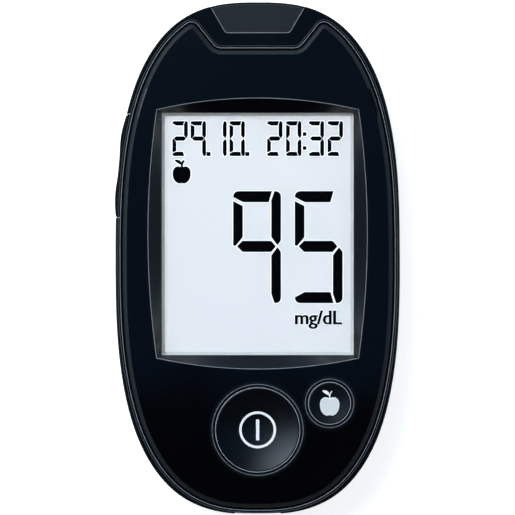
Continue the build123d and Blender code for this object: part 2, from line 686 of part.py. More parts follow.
def make_strip_port_insert():
    prism = port_prism(0, BOARD_TOP + PORT_CLEARANCE)
    skin = extrude(case_oval(RIM_STEP + SHOULDER_DRAFT), ABOVE) & crown(SHOULDER_DROP - PORT_PROUD)
    body = prism & skin
    top = body.faces().sort_by(Axis.Z)[-1]
    body = chamfer(top.edges(), PORT_EDGE)
    half = STRIP_WIDTH / 2
    low, high = STRIP_Z - STRIP_SLOT / 2, STRIP_Z + STRIP_SLOT / 2
    slot = block(-half, half, PORT_Y - OVERCUT, LENGTH, low, high)
    throat = Rot(90, 0, 0) * Rectangle(STRIP_WIDTH, STRIP_SLOT)
    mouth = Rot(90, 0, 0) * Rectangle(STRIP_WIDTH + MOUTH_WIDENING, STRIP_SLOT + MOUTH_HEIGHTENING)
    inner_end = Pos(0, LENGTH / 2 - MOUTH_DEPTH, STRIP_Z) * throat
    outer_end = Pos(0, LENGTH / 2, STRIP_Z) * mouth
    outside = block(-half, half, LENGTH / 2, LENGTH, low, high)
    return body - slot - loft([inner_end, outer_end], ruled=True) - outside


# ---- Display stack --------------------------------------------------------------------------
def make_display_lens():
    return plate(LENS_WIDTH, LENS_HEIGHT, STACK_CORNER, LENS_Z, LENS_TOP, y=WINDOW_Y)


def make_display_bezel():
    frame = plate(LENS_WIDTH, LENS_HEIGHT, STACK_CORNER, BEZEL_Z, LENS_Z, y=WINDOW_Y)
    upper = Rectangle(WINDOW_WIDTH, WINDOW_HEIGHT)
    lower = Rectangle(WINDOW_WIDTH - 2 * BEZEL_SLOPE, WINDOW_HEIGHT - 2 * BEZEL_SLOPE)
    opening = loft([Pos(0, WINDOW_Y, BEZEL_Z) * lower, Pos(0, WINDOW_Y, LENS_Z) * upper], ruled=True)
    return frame - opening


def glass_span():
    """Lower and upper end of the display glass along Y."""
    low = WINDOW_Y - WINDOW_HEIGHT / 2 - GLASS_MARGIN
    high = WINDOW_Y + WINDOW_HEIGHT / 2 + GLASS_MARGIN
    return low, high


def make_lcd_front_glass():
    low, high = glass_span()
    half = WINDOW_WIDTH / 2 + GLASS_MARGIN
    return block(-half, half, low, high, GLASS_Z, BEZEL_Z)


def make_lcd_rear_glass():
    low, high = glass_span()
    half = WINDOW_WIDTH / 2 + GLASS_MARGIN
    return block(-half, half, low, high - CONTACT_LEDGE, REAR_GLASS_Z, GLASS_Z)


def make_backlight_diffuser():
    low, high = glass_span()
    half = WINDOW_WIDTH / 2 + GLASS_MARGIN
    return block(-half, half, low, high - CONTACT_LEDGE, DIFFUSER_Z, REAR_GLASS_Z)


def make_zebra_connector():
    high = glass_span()[1] - ZEBRA_FROM_EDGE
    half = WINDOW_WIDTH / 2
    return block(-half, half, high - ZEBRA_WIDTH, high, BOARD_TOP, GLASS_Z)


def make_backlight_leds():
    leds = []
    for x in (-WINDOW_WIDTH / 4, WINDOW_WIDTH / 4):
        for y in (WINDOW_Y - WINDOW_HEIGHT / 4, WINDOW_Y + WINDOW_HEIGHT / 4):
            half = LED_SIZE / 2
            leds.append(block(x - half, x + half, y - half, y + half, BOARD_TOP, BOARD_TOP + LED_HEIGHT))
    return Compound(children=leds)


def make_lcd_holder():
    frame = plate(HOLDER_WIDTH, HOLDER_HEIGHT, STACK_CORNER, BOARD_TOP, BEZEL_Z, y=WINDOW_Y)
    low, high = glass_span()
    half = WINDOW_WIDTH / 2 + GLASS_MARGIN + HOLDER_CLEARANCE
    seat_low, seat_high = low - HOLDER_CLEARANCE, high + HOLDER_CLEARANCE
    seat = block(-half, half, seat_low, seat_high, DIFFUSER_Z, BEZEL_Z + OVERCUT)
    well_z = BOARD_TOP - OVERCUT
    half = WINDOW_WIDTH / 2
    well_low, well_high = low + LIGHT_WELL_LEDGE, high - CONTACT_LEDGE - LIGHT_WELL_LEDGE
    light_well = block(-half, half, well_low, well_high, well_z, DIFFUSER_Z + OVERLAP)
    half = half + ZEBRA_CLEARANCE
    zebra_high = high - ZEBRA_FROM_EDGE + ZEBRA_CLEARANCE
    zebra_low = zebra_high - ZEBRA_WIDTH - 2 * ZEBRA_CLEARANCE
    zebra_well = block(-half, half, zebra_low, zebra_high, well_z, DIFFUSER_Z + OVERLAP)
    return frame - seat - light_well - zebra_well


# ---- Buttons --------------------------------------------------------------------------------
def make_button(x, y, radius, tab_angles):
    """Dished cap, retaining tabs under the shelf and a stem down to its dome."""
    top = crown_height(x, y) + BUTTON_PROUD
    furthest = math.hypot(x, y) + radius + TAB_REACH
    tab_top = crown_height(0, furthest) - PANEL_THICKNESS - SHELF - TAB_GAP
    tab_low = tab_top - TAB_THICKNESS
    cap = disc(x, y, radius, tab_low, top)
    rim = cap.edges().sort_by(Axis.Z)[-1]
    cap = fillet(rim, BUTTON_EDGE)
    dish_reach = radius - DISH_RIM
    sag = DISH_RADIUS - math.sqrt(DISH_RADIUS**2 - dish_reach**2)
    cap = cap - Pos(x, y, top + DISH_RADIUS - sag) * Sphere(DISH_RADIUS)
    for angle in tab_angles:
        reach = radius + TAB_REACH
        tab = Pos(reach / 2, 0, (tab_low + tab_top) / 2) * Box(reach, TAB_WIDTH, TAB_THICKNESS)
        cap = cap + Pos(x, y, 0) * Rot(0, 0, angle) * tab
    hollow_top = top - sag - CAP_SKIN
    cap = cap - disc(x, y, radius - CAP_WALL, tab_low - OVERCUT, hollow_top)
    stem_low = BOARD_TOP + DOME_HEIGHT + MATING_GAP
    stem = disc(x, y, STEM_RADIUS, stem_low, hollow_top + OVERLAP)
    for turn in (0, 90):
        span = 2 * (radius - CAP_WALL + OVERLAP)
        web = Box(span, WEB_THICKNESS, hollow_top - tab_low - WEB_RISE)
        middle = (hollow_top + tab_low + WEB_RISE) / 2
        stem = stem + Pos(x, y, middle) * Rot(0, 0, turn) * web
    return cap + stem


def make_power_button():
    away = math.degrees(math.atan2(MARKER_Y - POWER_Y, MARKER_X)) + 180
    angles = (away - POWER_TAB_STEP, away, away + POWER_TAB_STEP)
    return make_button(0, POWER_Y, POWER_CAP_RADIUS, angles)


def make_marker_button():
    away = math.degrees(math.atan2(MARKER_Y - POWER_Y, MARKER_X))
    angles = (away - MARKER_TAB_STEP, away, away + MARKER_TAB_STEP)
    return make_button(MARKER_X, MARKER_Y, MARKER_CAP_RADIUS, angles)


def make_dome(x, y, radius):
    """Metal snap dome, a shallow cap resting on the board."""
    curve = (radius**2 + DOME_HEIGHT**2) / (2 * DOME_HEIGHT)
    cap = Pos(x, y, BOARD_TOP + DOME_HEIGHT - curve) * Sphere(curve)
    return cap & disc(x, y, radius + OVERCUT, BOARD_TOP, BOARD_TOP + OVERCUT)


# ---- Side key -------------------------------------------------------------------------------
def key_rise(y):
    """How far the two thumb pads stand out of the case's curve."""
    rise = 0.0
    for place in KEY_PLACES:
        share = abs(y - place) / (KEY_PAD_LENGTH / 2)
        if share < 1:
            rise += KEY_PAD_RISE * (1 - share**2) ** 2
    return rise


def key_curve(depth, with_pads):
    """Curve of the key along the case's side, moved inwards by depth."""
    half = KEY_LENGTH / 2 - KEY_SEAM
    count = 20
    points = []
    for index in range(count + 1):
        y = KEY_MIDDLE_Y - half + 2 * half * index / count
        rise = key_rise(y) if with_pads else 0.0
        points.append((-case_reach(y) + depth - rise, y))
    return points


def make_side_key():
    outside = key_curve(0, True)
    inside = key_curve(KEY_THICKNESS, False)
    face = make_face(
        [
            Spline(outside),
            Line(outside[-1], inside[-1]),
            Spline(inside[::-1]),
            Line(inside[0], outside[0]),
        ]
    )
    top = SPLIT_Z - KEY_SEAM
    key = Pos(0, 0, KEY_BOTTOM_Z) * extrude(face, top - KEY_BOTTOM_Z)
    outer_face = key.faces().sort_by(Axis.X)[0]
    key = fillet(outer_face.edges(), KEY_EDGE)
    x, y = key_axle_place()
    inner_x = -case_reach(y) + KEY_THICKNESS
    half = KEY_SPINE / 2
    key = key + block(inner_x - OVERLAP, x, y - half, y + half, KEY_BOTTOM_Z, top)
    key = key + disc(x, y, KEY_BARREL_RADIUS, KEY_BOTTOM_Z, top)
    pin_top = SPLIT_Z + KEY_SEAM + PIN_ABOVE
    return key + disc(x, y, KEY_AXLE_RADIUS, KEY_BOTTOM_Z - PIN_BELOW, pin_top)


def nub_tip(y):
    """Where a side switch's nub meets the key."""
    return -case_reach(y) + KEY_THICKNESS + 2 * MATING_GAP


def make_side_switch(y):
    front = nub_tip(y) + NUB_LENGTH
    half = SWITCH_WIDTH / 2
    case = block(front, front + SWITCH_DEPTH, y - half, y + half, BOARD_Z - SWITCH_HEIGHT, BOARD_Z)
    return fillet(case.edges().filter_by(Axis.Z), SWITCH_CORNER)


def make_switch_nub(y):
    tip = nub_tip(y)
    middle = Pos(tip + NUB_LENGTH / 2, y, BOARD_Z - SWITCH_HEIGHT / 2)
    return middle * Rot(0, 90, 0) * Cylinder(NUB_RADIUS, NUB_LENGTH)


# ---- Batteries ------------------------------------------------------------------------------
def make_coin_cell(side):
    """Steel can with its smaller lid facing the contacts."""
    x = side * CELL_SPACING / 2
    can = disc(x, BAY_MIDDLE_Y, CELL_RADIUS, CELL_Z, CELL_Z + CAN_HEIGHT)
    can = fillet(can.edges().sort_by(Axis.Z)[0], CAN_EDGE)
    lid = disc(x, BAY_MIDDLE_Y, CELL_RADIUS - LID_INSET, CELL_Z + CAN_HEIGHT - OVERLAP, CELL_TOP)
    lid = fillet(lid.edges().sort_by(Axis.Z)[-1], LID_EDGE)
    return can + lid


def negative_tail_x():
    """Where the negative leaf turns up to the board."""
    return CELL_SPACING / 2 - CELL_RADIUS + LEAF_TAIL


def positive_leaf_x():
    """Where the positive leaf stands beside the cell's rim."""
    return CELL_SPACING / 2 + CELL_RADIUS + LEAF / 2 + MATING_GAP


def leaf(points, y, radius):
    """Sheet-metal leaf: a bent strip, drawn in the XZ plane and given its width along Y."""
    profile = trace(FilletPolyline(*points, radius=radius), LEAF)
    return Pos(0, y, 0) * extrude(Plane.XZ * profile, LEAF_WIDTH / 2, both=True)


def make_negative_contacts():
    leaves = []
    for side in (-1, 1):
        tail = side * negative_tail_x()
        middle = side * CELL_SPACING / 2
        under = CEILING_Z - LEAF / 2 - MATING_GAP
        touch = CELL_TOP + LEAF / 2 + MATING_GAP / 2
        points = [
            (tail, BOARD_Z),
            (tail, under),
            (middle - side * LEAF_FLAT, under),
            (middle, touch),
            (middle + side * LEAF_FLAT / 3, touch + LEAF_LIFT),
        ]
        leaves.append(leaf(points, BAY_MIDDLE_Y, LEAF_BEND))
    return Compound(children=leaves)


def make_positive_contacts():
    leaves = []
    for side in (-1, 1):
        x = side * positive_leaf_x()
        foot = (x + side * LEAF_LIFT, CELL_Z + MATING_GAP)
        points = [foot, (x, CELL_Z + CELL_THICKNESS / 3), (x, BOARD_Z)]
        leaves.append(leaf(points, BAY_MIDDLE_Y, LEAF_BEND))
    return Compound(children=leaves)


def make_battery_door():
    door = plate(2 * DOOR_HALF_X, 2 * DOOR_HALF_Y, DOOR_CORNER, DOOR_RECESS, DOOR_TOP, y=BAY_MIDDLE_Y)
    edge = BAY_MIDDLE_Y - DOOR_HALF_Y
    half = LATCH_WIDTH / 2 + LATCH_ROOM
    door = door - block(-half, half, edge - OVERCUT, edge + LATCH_LENGTH, -OVERCUT, DOOR_TOP + OVERCUT)
    for side in (-1, 1):
        x = side * CELL_SPACING / 2
        rest = disc(x, BAY_MIDDLE_Y, CELL_REST_RADIUS, DOOR_TOP - OVERLAP, CELL_Z - MATING_GAP)
        inner = CELL_REST_RADIUS - CELL_REST_WIDTH
        door = door + (rest - disc(x, BAY_MIDDLE_Y, inner, DOOR_TOP - OVERLAP, CELL_Z))
        door = door + door_hook(side * HOOK_SPACING / 2)
    return door


def door_hook(x):
    """Hook that grips over the edge of the door opening."""
    edge = BAY_MIDDLE_Y + DOOR_HALF_Y
    root = edge - HOOK_ROOT
    tip = edge + HOOK_REACH
    sunk = DOOR_TOP - OVERLAP
    under = FLOOR + 2 * MATING_GAP
    top = under + HOOK_THICKNESS
    corners = [(root, sunk), (edge, sunk), (edge, under), (tip, under), (tip, top), (root, top)]
    profile = Plane.YZ * make_face(Polyline(corners, close=True))
    return Pos(x, 0, 0) * extrude(profile, HOOK_WIDTH / 2, both=True)


def make_door_latch():
    """Folded spring tongue at the door's free edge, with a finger pad and a barb."""
    edge = BAY_MIDDLE_Y - DOOR_HALF_Y
    root = edge + LATCH_LENGTH
    near = root - LATCH_FOLD - LATCH_THICKNESS / 2
    far = near - LATCH_THICKNESS - LATCH_FOLD
    middle_z = DOOR_RECESS + DOOR_THICKNESS / 2
    high = DOOR_TOP + LATCH_HEIGHT - LATCH_ROOM - LATCH_THICKNESS / 2
    pad_z = DOOR_RECESS + LATCH_THICKNESS / 2
    points = [(root, middle_z), (near, middle_z), (near, high), (far, high), (far, pad_z), (edge, pad_z)]
    tongue = Plane.YZ * trace(FilletPolyline(*points, radius=LATCH_BEND), LATCH_THICKNESS)
    low = FLOOR + 3 * MATING_GAP
    back = far - LATCH_THICKNESS / 2 + MATING_GAP
    tip = edge - DOOR_CLEARANCE - LATCH_BARB
    lead = low + LATCH_BARB
    wedge = [(back, low), (tip, low), (tip, lead), (back, lead + back - tip)]
    barb = Plane.YZ * make_face(Polyline(wedge, close=True))
    half = LATCH_WIDTH / 2
    return extrude(tongue, half, both=True) + extrude(barb, half, both=True)


# ---- Circuit board --------------------------------------------------------------------------
def make_main_board():
    board = Pos(0, 0, BOARD_Z) * extrude(case_oval(BOARD_INSET), BOARD_THICKNESS)
    low, high = BOARD_Z - OVERCUT, BOARD_TOP + OVERCUT
    for x, y in SCREW_PLACES:
        board = board - disc(x, y, POST_RADIUS + SCREW_CLEARANCE, low, high)
    for x, y in BOARD_SCREW_PLACES:
        board = board - disc(x, y, BOARD_SCREW_RADIUS + SCREW_CLEARANCE, low, high)
    x, y = key_axle_place()
    bite = KEY_BARREL_RADIUS + OVERLAP
    return board - disc(x, y, bite, low, high) - block(-WIDTH / 2, x, y - bite, y + bite, low, high)


def make_microcontroller():
    half = CHIP_SIZE / 2
    middle = BAY_MIDDLE_Y + CHIP_FROM_BAY
    body = block(-half, half, middle - half, middle + half, BOARD_Z - CHIP_HEIGHT, BOARD_Z)
    return chamfer(body.edges().group_by(Axis.Z)[0], CHIP_HEIGHT / 4)


def make_memory_chip():
    x, y = MEMORY_PLACE
    body = Box(MEMORY_WIDTH, MEMORY_DEPTH, MEMORY_HEIGHT)
    return Pos(x, WINDOW_Y + y, BOARD_TOP + MEMORY_HEIGHT / 2) * body


def make_crystal():
    x, y = CRYSTAL_PLACE
    can = RectangleRounded(CRYSTAL_LENGTH, CRYSTAL_WIDTH, CRYSTAL_CORNER)
    return Pos(x, WINDOW_Y + y, BOARD_TOP) * extrude(can, CRYSTAL_HEIGHT)


def make_passives():
    """Rows of chip resistors and capacitors on both sides of the display drive."""
    parts = []
    body = Box(PASSIVE_LENGTH, PASSIVE_WIDTH, PASSIVE_HEIGHT)
    for row in range(PASSIVE_ROWS):
        for column in range(PASSIVE_COLUMNS):
            x = PASSIVE_PITCH * (column - (PASSIVE_COLUMNS - 1) / 2)
            y = WINDOW_Y - PASSIVE_ROW_PITCH * (row + 1)
            parts.append(Pos(x, y, BOARD_TOP + PASSIVE_HEIGHT / 2) * body)
    return Compound(children=parts)


def make_buzzer():
    y = NOTCH_Y - BUZZER_FROM_NOTCH
    low = BOARD_Z - BUZZER_HEIGHT
    body = disc(RIB_SPACING, y, BUZZER_RADIUS, low, BOARD_Z)
    return body - disc(RIB_SPACING, y, BUZZER_HOLE, low - OVERCUT, low + OVERCUT)


def make_strip_connector():
    high = PORT_Y - CONNECTOR_GAP
    low = high - CONNECTOR_DEPTH
    half = CONNECTOR_WIDTH / 2
    body = block(-half, half, low, high, BOARD_TOP, BOARD_TOP + CONNECTOR_HEIGHT)
    body = chamfer(body.edges().filter_by(Axis.Y).group_by(Axis.Z)[-1], CONNECTOR_EDGE)
    half = STRIP_WIDTH / 2
    slot_low, slot_high = STRIP_Z - STRIP_SLOT / 3, STRIP_Z + STRIP_SLOT / 3
    body = body - block(-half, half, low + 2 * OVERCUT, high + OVERCUT, slot_low, slot_high)
    half = PIN_WIDTH / 2 + PIN_SHEET / 2
    groove_top = slot_high + PIN_GROOVE
    for x in pin_places():
        groove = block(x - half, x + half, low - OVERCUT, high - OVERCUT, slot_high - OVERLAP, groove_top)
        body = body - groove
    return body


def pin_places():
    """Where the strip contacts stand across the connector."""
    first = -PIN_PITCH * (CONNECTOR_PINS - 1) / 2
    return [first + PIN_PITCH * index for index in range(CONNECTOR_PINS)]


def make_strip_contacts():
    low = PORT_Y - CONNECTOR_GAP - CONNECTOR_DEPTH
    back = low - PIN_SHEET
    foot_z = BOARD_TOP + PIN_SHEET / 2
    rail = STRIP_Z + STRIP_SLOT / 3 + 2 * PIN_SHEET
    bow = rail - 1.5 * PIN_SHEET
    points = [(back - PIN_PITCH, foot_z), (back, foot_z), (back, rail)]
    for share, z in zip(PIN_BENDS, (rail, bow, rail)):
        points.append((low + CONNECTOR_DEPTH * share, z))
    profile = Plane.YZ * trace(Polyline(points), PIN_SHEET)
    pins = [Pos(x, 0, 0) * extrude(profile, PIN_WIDTH / 2, both=True) for x in pin_places()]
    return Compound(children=pins)


def usb_section(shrink):
    """Data socket's outline: a rectangle with its lower corners cut off."""
    half = USB_WIDTH / 2 - shrink
    low, high = BOARD_TOP + shrink, BOARD_TOP + USB_HEIGHT - shrink
    step = low + USB_CUT
    foot = half - USB_CUT
    corners = [(-half, high), (half, high), (half, step), (foot, low), (-foot, low), (-half, step)]
    return Plane.XZ * make_face(Polyline(corners, close=True))


def make_usb_shell():
    front = -LENGTH / 2 + USB_INSET
    outer = Pos(0, front + USB_DEPTH, 0) * extrude(usb_section(0), USB_DEPTH)
    inner = Pos(0, front + USB_DEPTH - USB_SHEET, 0) * extrude(usb_section(USB_SHEET), USB_DEPTH)
    return outer - inner


def make_usb_insert():
    front = -LENGTH / 2 + USB_INSET
    back = front + USB_DEPTH - USB_SHEET
    half = USB_WIDTH / 2 - USB_SHEET - USB_CUT
    low, high = BOARD_TOP + USB_SHEET, BOARD_TOP + USB_HEIGHT - USB_SHEET
    root = block(-half, half, back - USB_ROOT, back, low, high)
    middle = BOARD_TOP + USB_HEIGHT / 2
    half = half - OVERLAP
    return root + block(-half, half, front + USB_TONGUE, back, middle, middle + USB_TONGUE)


# ---- Screws ---------------------------------------------------------------------------------
def make_screw(x, y, seat, radius, head_radius, head_height, length):
    """Pan head under its seat, shank upwards, with a cross recess."""
    head = disc(x, y, head_radius, seat - head_height, seat)
    head = chamfer(head.edges().sort_by(Axis.Z)[0], head_height / 3)
    shank = disc(x, y, radius, seat, seat + length)
    recess = head_height / 2
    for turn in (0, 90):
        arm = Box(head_radius, CROSS_ARM * head_radius, recess)
        head = head - Pos(x, y, seat - head_height + recess / 2) * Rot(0, 0, turn) * arm
    return head + shank


def make_housing_screws():
    size = (SCREW_RADIUS, SCREW_HEAD_RADIUS, SCREW_HEAD_HEIGHT, SCREW_LENGTH)
    return Compound(children=[make_screw(x, y, SCREW_SEAT_Z, *size) for x, y in SCREW_PLACES])


def make_board_screws():
    size = (BOARD_SCREW_RADIUS, BOARD_SCREW_HEAD, BOARD_SCREW_HEAD_HEIGHT, BOARD_SCREW_LENGTH)
    return Compound(children=[make_screw(x, y, BOARD_Z, *size) for x, y in BOARD_SCREW_PLACES])


# ---- Everything -----------------------------------------------------------------------------
def make_parts():
    return {
        "rear_housing": make_rear_housing(),
        "front_housing": make_front_housing(),
        "front_panel": make_front_panel(),
        "strip_port_insert": make_strip_port_insert(),
        "display_lens": make_display_lens(),
        "display_bezel": make_display_bezel(),
        "lcd_front_glass": make_lcd_front_glass(),
        "lcd_rear_glass": make_lcd_rear_glass(),
        "backlight_diffuser": make_backlight_diffuser(),
        "backlight_leds": make_backlight_leds(),
        "lcd_holder": make_lcd_holder(),
        "zebra_connector": make_zebra_connector(),
        "main_board": make_main_board(),
        "microcontroller": make_microcontroller(),
        "memory_chip": make_memory_chip(),
        "crystal": make_crystal(),
        "passives": make_passives(),
        "buzzer": make_buzzer(),
        "strip_connector": make_strip_connector(),
        "strip_contacts": make_strip_contacts(),
        "usb_shell": make_usb_shell(),
        "usb_insert": make_usb_insert(),
        "power_button": make_power_button(),
        "marker_button": make_marker_button(),
        "power_dome": make_dome(0, POWER_Y, DOME_RADIUS),
        "marker_dome": make_dome(MARKER_X, MARKER_Y, DOME_RADIUS),
        "side_key": make_side_key(),
        "side_switch_upper": make_side_switch(KEY_PLACES[0]),
        "side_switch_lower": make_side_switch(KEY_PLACES[1]),
        "switch_nub_upper": make_switch_nub(KEY_PLACES[0]),
        "switch_nub_lower": make_switch_nub(KEY_PLACES[1]),
        "coin_cell_left": make_coin_cell(-1),
        "coin_cell_right": make_coin_cell(1),
        "negative_contacts": make_negative_contacts(),
        "positive_contacts": make_positive_contacts(),
        "battery_door": make_battery_door(),
        "door_latch": make_door_latch(),
        "housing_screws": make_housing_screws(),
        "board_screws": make_board_screws(),
    }


os.makedirs("parts", exist_ok=True)
for name, shape in make_parts().items():
    export_step(shape, f"parts/{name}.step")
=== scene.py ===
import math

import bmesh
import bpy
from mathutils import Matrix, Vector


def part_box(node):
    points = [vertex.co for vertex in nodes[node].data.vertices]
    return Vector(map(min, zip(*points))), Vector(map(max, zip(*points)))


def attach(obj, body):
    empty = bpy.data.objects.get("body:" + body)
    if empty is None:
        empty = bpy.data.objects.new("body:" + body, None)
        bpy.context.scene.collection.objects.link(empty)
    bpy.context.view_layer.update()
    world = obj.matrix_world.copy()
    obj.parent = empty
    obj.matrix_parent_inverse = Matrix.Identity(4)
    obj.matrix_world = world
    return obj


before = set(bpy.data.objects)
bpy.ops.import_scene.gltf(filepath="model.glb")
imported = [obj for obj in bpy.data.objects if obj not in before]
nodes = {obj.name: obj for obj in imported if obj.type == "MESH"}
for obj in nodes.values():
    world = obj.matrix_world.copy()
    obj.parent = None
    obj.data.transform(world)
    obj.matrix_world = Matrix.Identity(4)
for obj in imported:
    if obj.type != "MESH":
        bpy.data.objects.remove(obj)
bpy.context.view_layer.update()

MM = 0.001

# Handheld blood glucose meter, lying on its back. Sizes in millimetres, made metres by MM.
THICKNESS = 22.0
CROWN_RADIUS = 900.0        # the front is a shallow dome
LENGTH = 103.0
LENS_MARGIN = 1.5           # display window to the edge of its clear lens
FLARE_SIDE = 2.75           # how far the sloped surround spreads
FLARE_TOP = 2.95
FLARE_BOTTOM = 2.8
FLARE_CORNER_X = 1.0
FLARE_CORNER_Y = 0.62
LIP_DROP = 0.35
PORT_DROP = 0.65
POWER_CAP = 8.55            # cap radius
MARKER_CAP = 4.3
MOUTH = 0.58                # cap edge to the rounded edge of its opening
CAP_EDGE = 0.07             # the line that shines on a cap's edge lies this far in
DISH_RADIUS = 45.0
DISH_RIM = 0.39
INK = 0.03                  # thickness of a printed or segment layer
HALO = 0.2                  # pale border round each display segment
LINE = 0.075                # radius of the painted highlight lines along edges
INK_SPREAD = 0.06           # ink runs this far past the drawn edge of a mark
KEY_GAP = 0.2               # the housing's edge lies this far beyond each end of the side key
WINDOW_CLEAR_X = 24.0       # lines in plan that pass just outside the sloped surround
WINDOW_CLEAR_TOP = 34.0
WINDOW_CLEAR_LOW = -26.0
PANEL_DARK = (0.0011, 0.0012, 0.0018)
PANEL_LIGHT = (0.0014, 0.0015, 0.0022)
# painted highlight: paler colour round each button's opening
PANEL_PAINTED_HALO = (0.010, 0.014, 0.019)
# painted sheen: paler colour on the outer bevel that stands in for its reflection
PANEL_PAINTED_SHEEN = (0.0050, 0.0085, 0.0125)
BEVEL_FACING = (0.975, 0.997)   # upward part of the normal: the bevel's painted sheen band fades between these
WALL_FACING = (0.72, 0.86)      # steeper than this is wall, and stays plain
SATIN_FACING = (0.988, 0.9975)
BEVEL_NEAR_END = (-45, -10)     # the painted sheen band gets weaker over these stretches in Y
BEVEL_FAR_END = (42, 46)
HALO_REACH = 1.0                # reach of the painted highlight round each button's opening
SIDE_FACING = (0.15, 0.6)       # an upright side turns matt between these
GLASS_LEFT = -18.6              # visible glass: painted light along the two edges that lie in the window's shade
GLASS_TOP = 28.6
GLASS_LEFT_FADE = 1.4
GLASS_TOP_FADE = 1.6
# painted light that lifts the shade on the glass's left and top edges
GLASS_SHADE_LIFT = (0.66, 0.65, 0.655)
GLASS_GLOW = 0.26
EDGE_SLACK = 0.04               # how far an edge may lie from the level it is looked for at
PORT_OPEN_END = 2.5             # the port block's outer end has no edge line
KEY_STEP = 0.1                  # spacing of the places probed along each end of the side key
FLOOR_GLOW = 0.76
FLOOR_REACH = 40.0              # metres
FLOOR_LEVEL = -0.00002          # metres, just under the meter
WORLD_WINDOW_TOWARDS = (-0.351, 0.351, 0.868)
WORLD_WINDOW_STRENGTH = 5.9
WORLD_WINDOW_SPREAD = 0.42      # radians
FRAME_PIXELS = 515
PIXELS_PER_MM = 4.973
CAMERA_LENS = 1000.0
CAMERA_SENSOR = 36.0
CAMERA_AIM = (-0.00003, 0.000115, 0.0130)   # metres


def crown(x, y):
    """Height of the domed front over a place in plan."""
    return THICKNESS - CROWN_RADIUS + math.sqrt(CROWN_RADIUS**2 - x * x - y * y)


def box_middle(node):
    """Middle of a node in plan."""
    low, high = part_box(node)
    return (low.x + high.x) / 2 / MM, (low.y + high.y) / 2 / MM


DISPLAY_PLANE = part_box("lcd_front_glass")[1].z / MM
LENS_LOW, LENS_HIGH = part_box("display_lens")
WINDOW_HALF_X = (LENS_HIGH.x - LENS_LOW.x) / 2 / MM - LENS_MARGIN
WINDOW_LOW = LENS_LOW.y / MM + LENS_MARGIN
WINDOW_HIGH = LENS_HIGH.y / MM - LENS_MARGIN
POWER = box_middle("power_dome")
MARKER = box_middle("marker_dome")


# ---- Node materials -------------------------------------------------------------------------
def new_material(name):
    """Empty node material with its output."""
    material = bpy.data.materials.new(name)
    material.use_nodes = True
    material.node_tree.nodes.clear()
    output = material.node_tree.nodes.new("ShaderNodeOutputMaterial")
    return material, material.node_tree, output


def object_place(tree):
    """Place on the piece, in metres."""
    return tree.nodes.new("ShaderNodeTexCoord").outputs["Object"]


def noise(tree, scale, detail=3.0, stretch=None):
    """Fractal noise in object space, in cycles per metre."""
    texture = tree.nodes.new("ShaderNodeTexNoise")
    texture.inputs["Scale"].default_value = scale
    texture.inputs["Detail"].default_value = detail
    vector = object_place(tree)
    if stretch:
        mapping = tree.nodes.new("ShaderNodeMapping")
        mapping.inputs["Scale"].default_value = stretch
        tree.links.new(vector, mapping.inputs["Vector"])
        vector = mapping.outputs["Vector"]
    tree.links.new(vector, texture.inputs["Vector"])
    return texture.outputs["Fac"]


def spread(tree, value, low, high, start=0.3, end=0.7, smooth=False):
    """A value from start to end stretched over low to high, and held beyond them."""
    ramp = tree.nodes.new("ShaderNodeMapRange")
    ramp.interpolation_type = "SMOOTHSTEP" if smooth else "LINEAR"
    ramp.inputs["From Min"].default_value = start
    ramp.inputs["From Max"].default_value = end
    ramp.inputs["To Min"].default_value = low
    ramp.inputs["To Max"].default_value = high
    tree.links.new(value, ramp.inputs["Value"])
    return ramp.outputs["Result"]


def calculated(tree, operation, *values):
    """Arithmetic on numbers and node outputs."""
    node = tree.nodes.new("ShaderNodeMath")
    node.operation = operation
    for socket, value in zip(node.inputs, values):
        if isinstance(value, (int, float)):
            socket.default_value = value
        else:
            tree.links.new(value, socket)
    return node.outputs["Value"]


def tint(tree, value, dark, light):
    """Colour between two shades, each a colour or a node output."""
    mix = tree.nodes.new("ShaderNodeMix")
    mix.data_type = "RGBA"
    factor = next(s for s in mix.inputs if s.name == "Factor" and s.type == "VALUE")
    shades = [s for s in mix.inputs if s.type == "RGBA"]
    for socket, shade in zip(shades, (dark, light)):
        if isinstance(shade, tuple):
            socket.default_value = (*shade, 1)
        else:
            tree.links.new(shade, socket)
    tree.links.new(value, factor)
    return next(s for s in mix.outputs if s.type == "RGBA")


def relief(tree, value, height, shader):
    """Bump of a height in millimetres on a shader's normal."""
    bump = tree.nodes.new("ShaderNodeBump")
    bump.inputs["Strength"].default_value = 1.0
    bump.inputs["Distance"].default_value = height * MM
    tree.links.new(value, bump.inputs["Height"])
    tree.links.new(bump.outputs["Normal"], shader.inputs["Normal"])


def moulded(
    name, dark, light, roughness, grain=0.0, grain_scale=9000.0, specular=0.5, matt_sides=0.0
):
    """Moulded plastic: uneven shade, uneven gloss, matter upright sides and a fine grain."""
    material, tree, output = new_material(name)
    shader = tree.nodes.new("ShaderNodeBsdfPrincipled")
    shader.inputs["Specular IOR Level"].default_value = specular
    shade = tint(tree, spread(tree, noise(tree, 70.0), 0, 1), dark, light)
    tree.links.new(shade, shader.inputs["Base Color"])
    gloss = spread(tree, noise(tree, 900.0, 5.0), *roughness)
    if matt_sides:
        facing = tree.nodes.new("ShaderNodeSeparateXYZ")
        normal = tree.nodes.new("ShaderNodeTexCoord").outputs["Normal"]
        tree.links.new(normal, facing.inputs["Vector"])
        upright = spread(tree, facing.outputs["Z"], matt_sides, 0, *SIDE_FACING, smooth=True)
        gloss = calculated(tree, "ADD", gloss, upright)
    tree.links.new(gloss, shader.inputs["Roughness"])
    if grain:
        relief(tree, noise(tree, grain_scale, 2.0), grain, shader)
    tree.links.new(shader.outputs["BSDF"], output.inputs["Surface"])
    return material


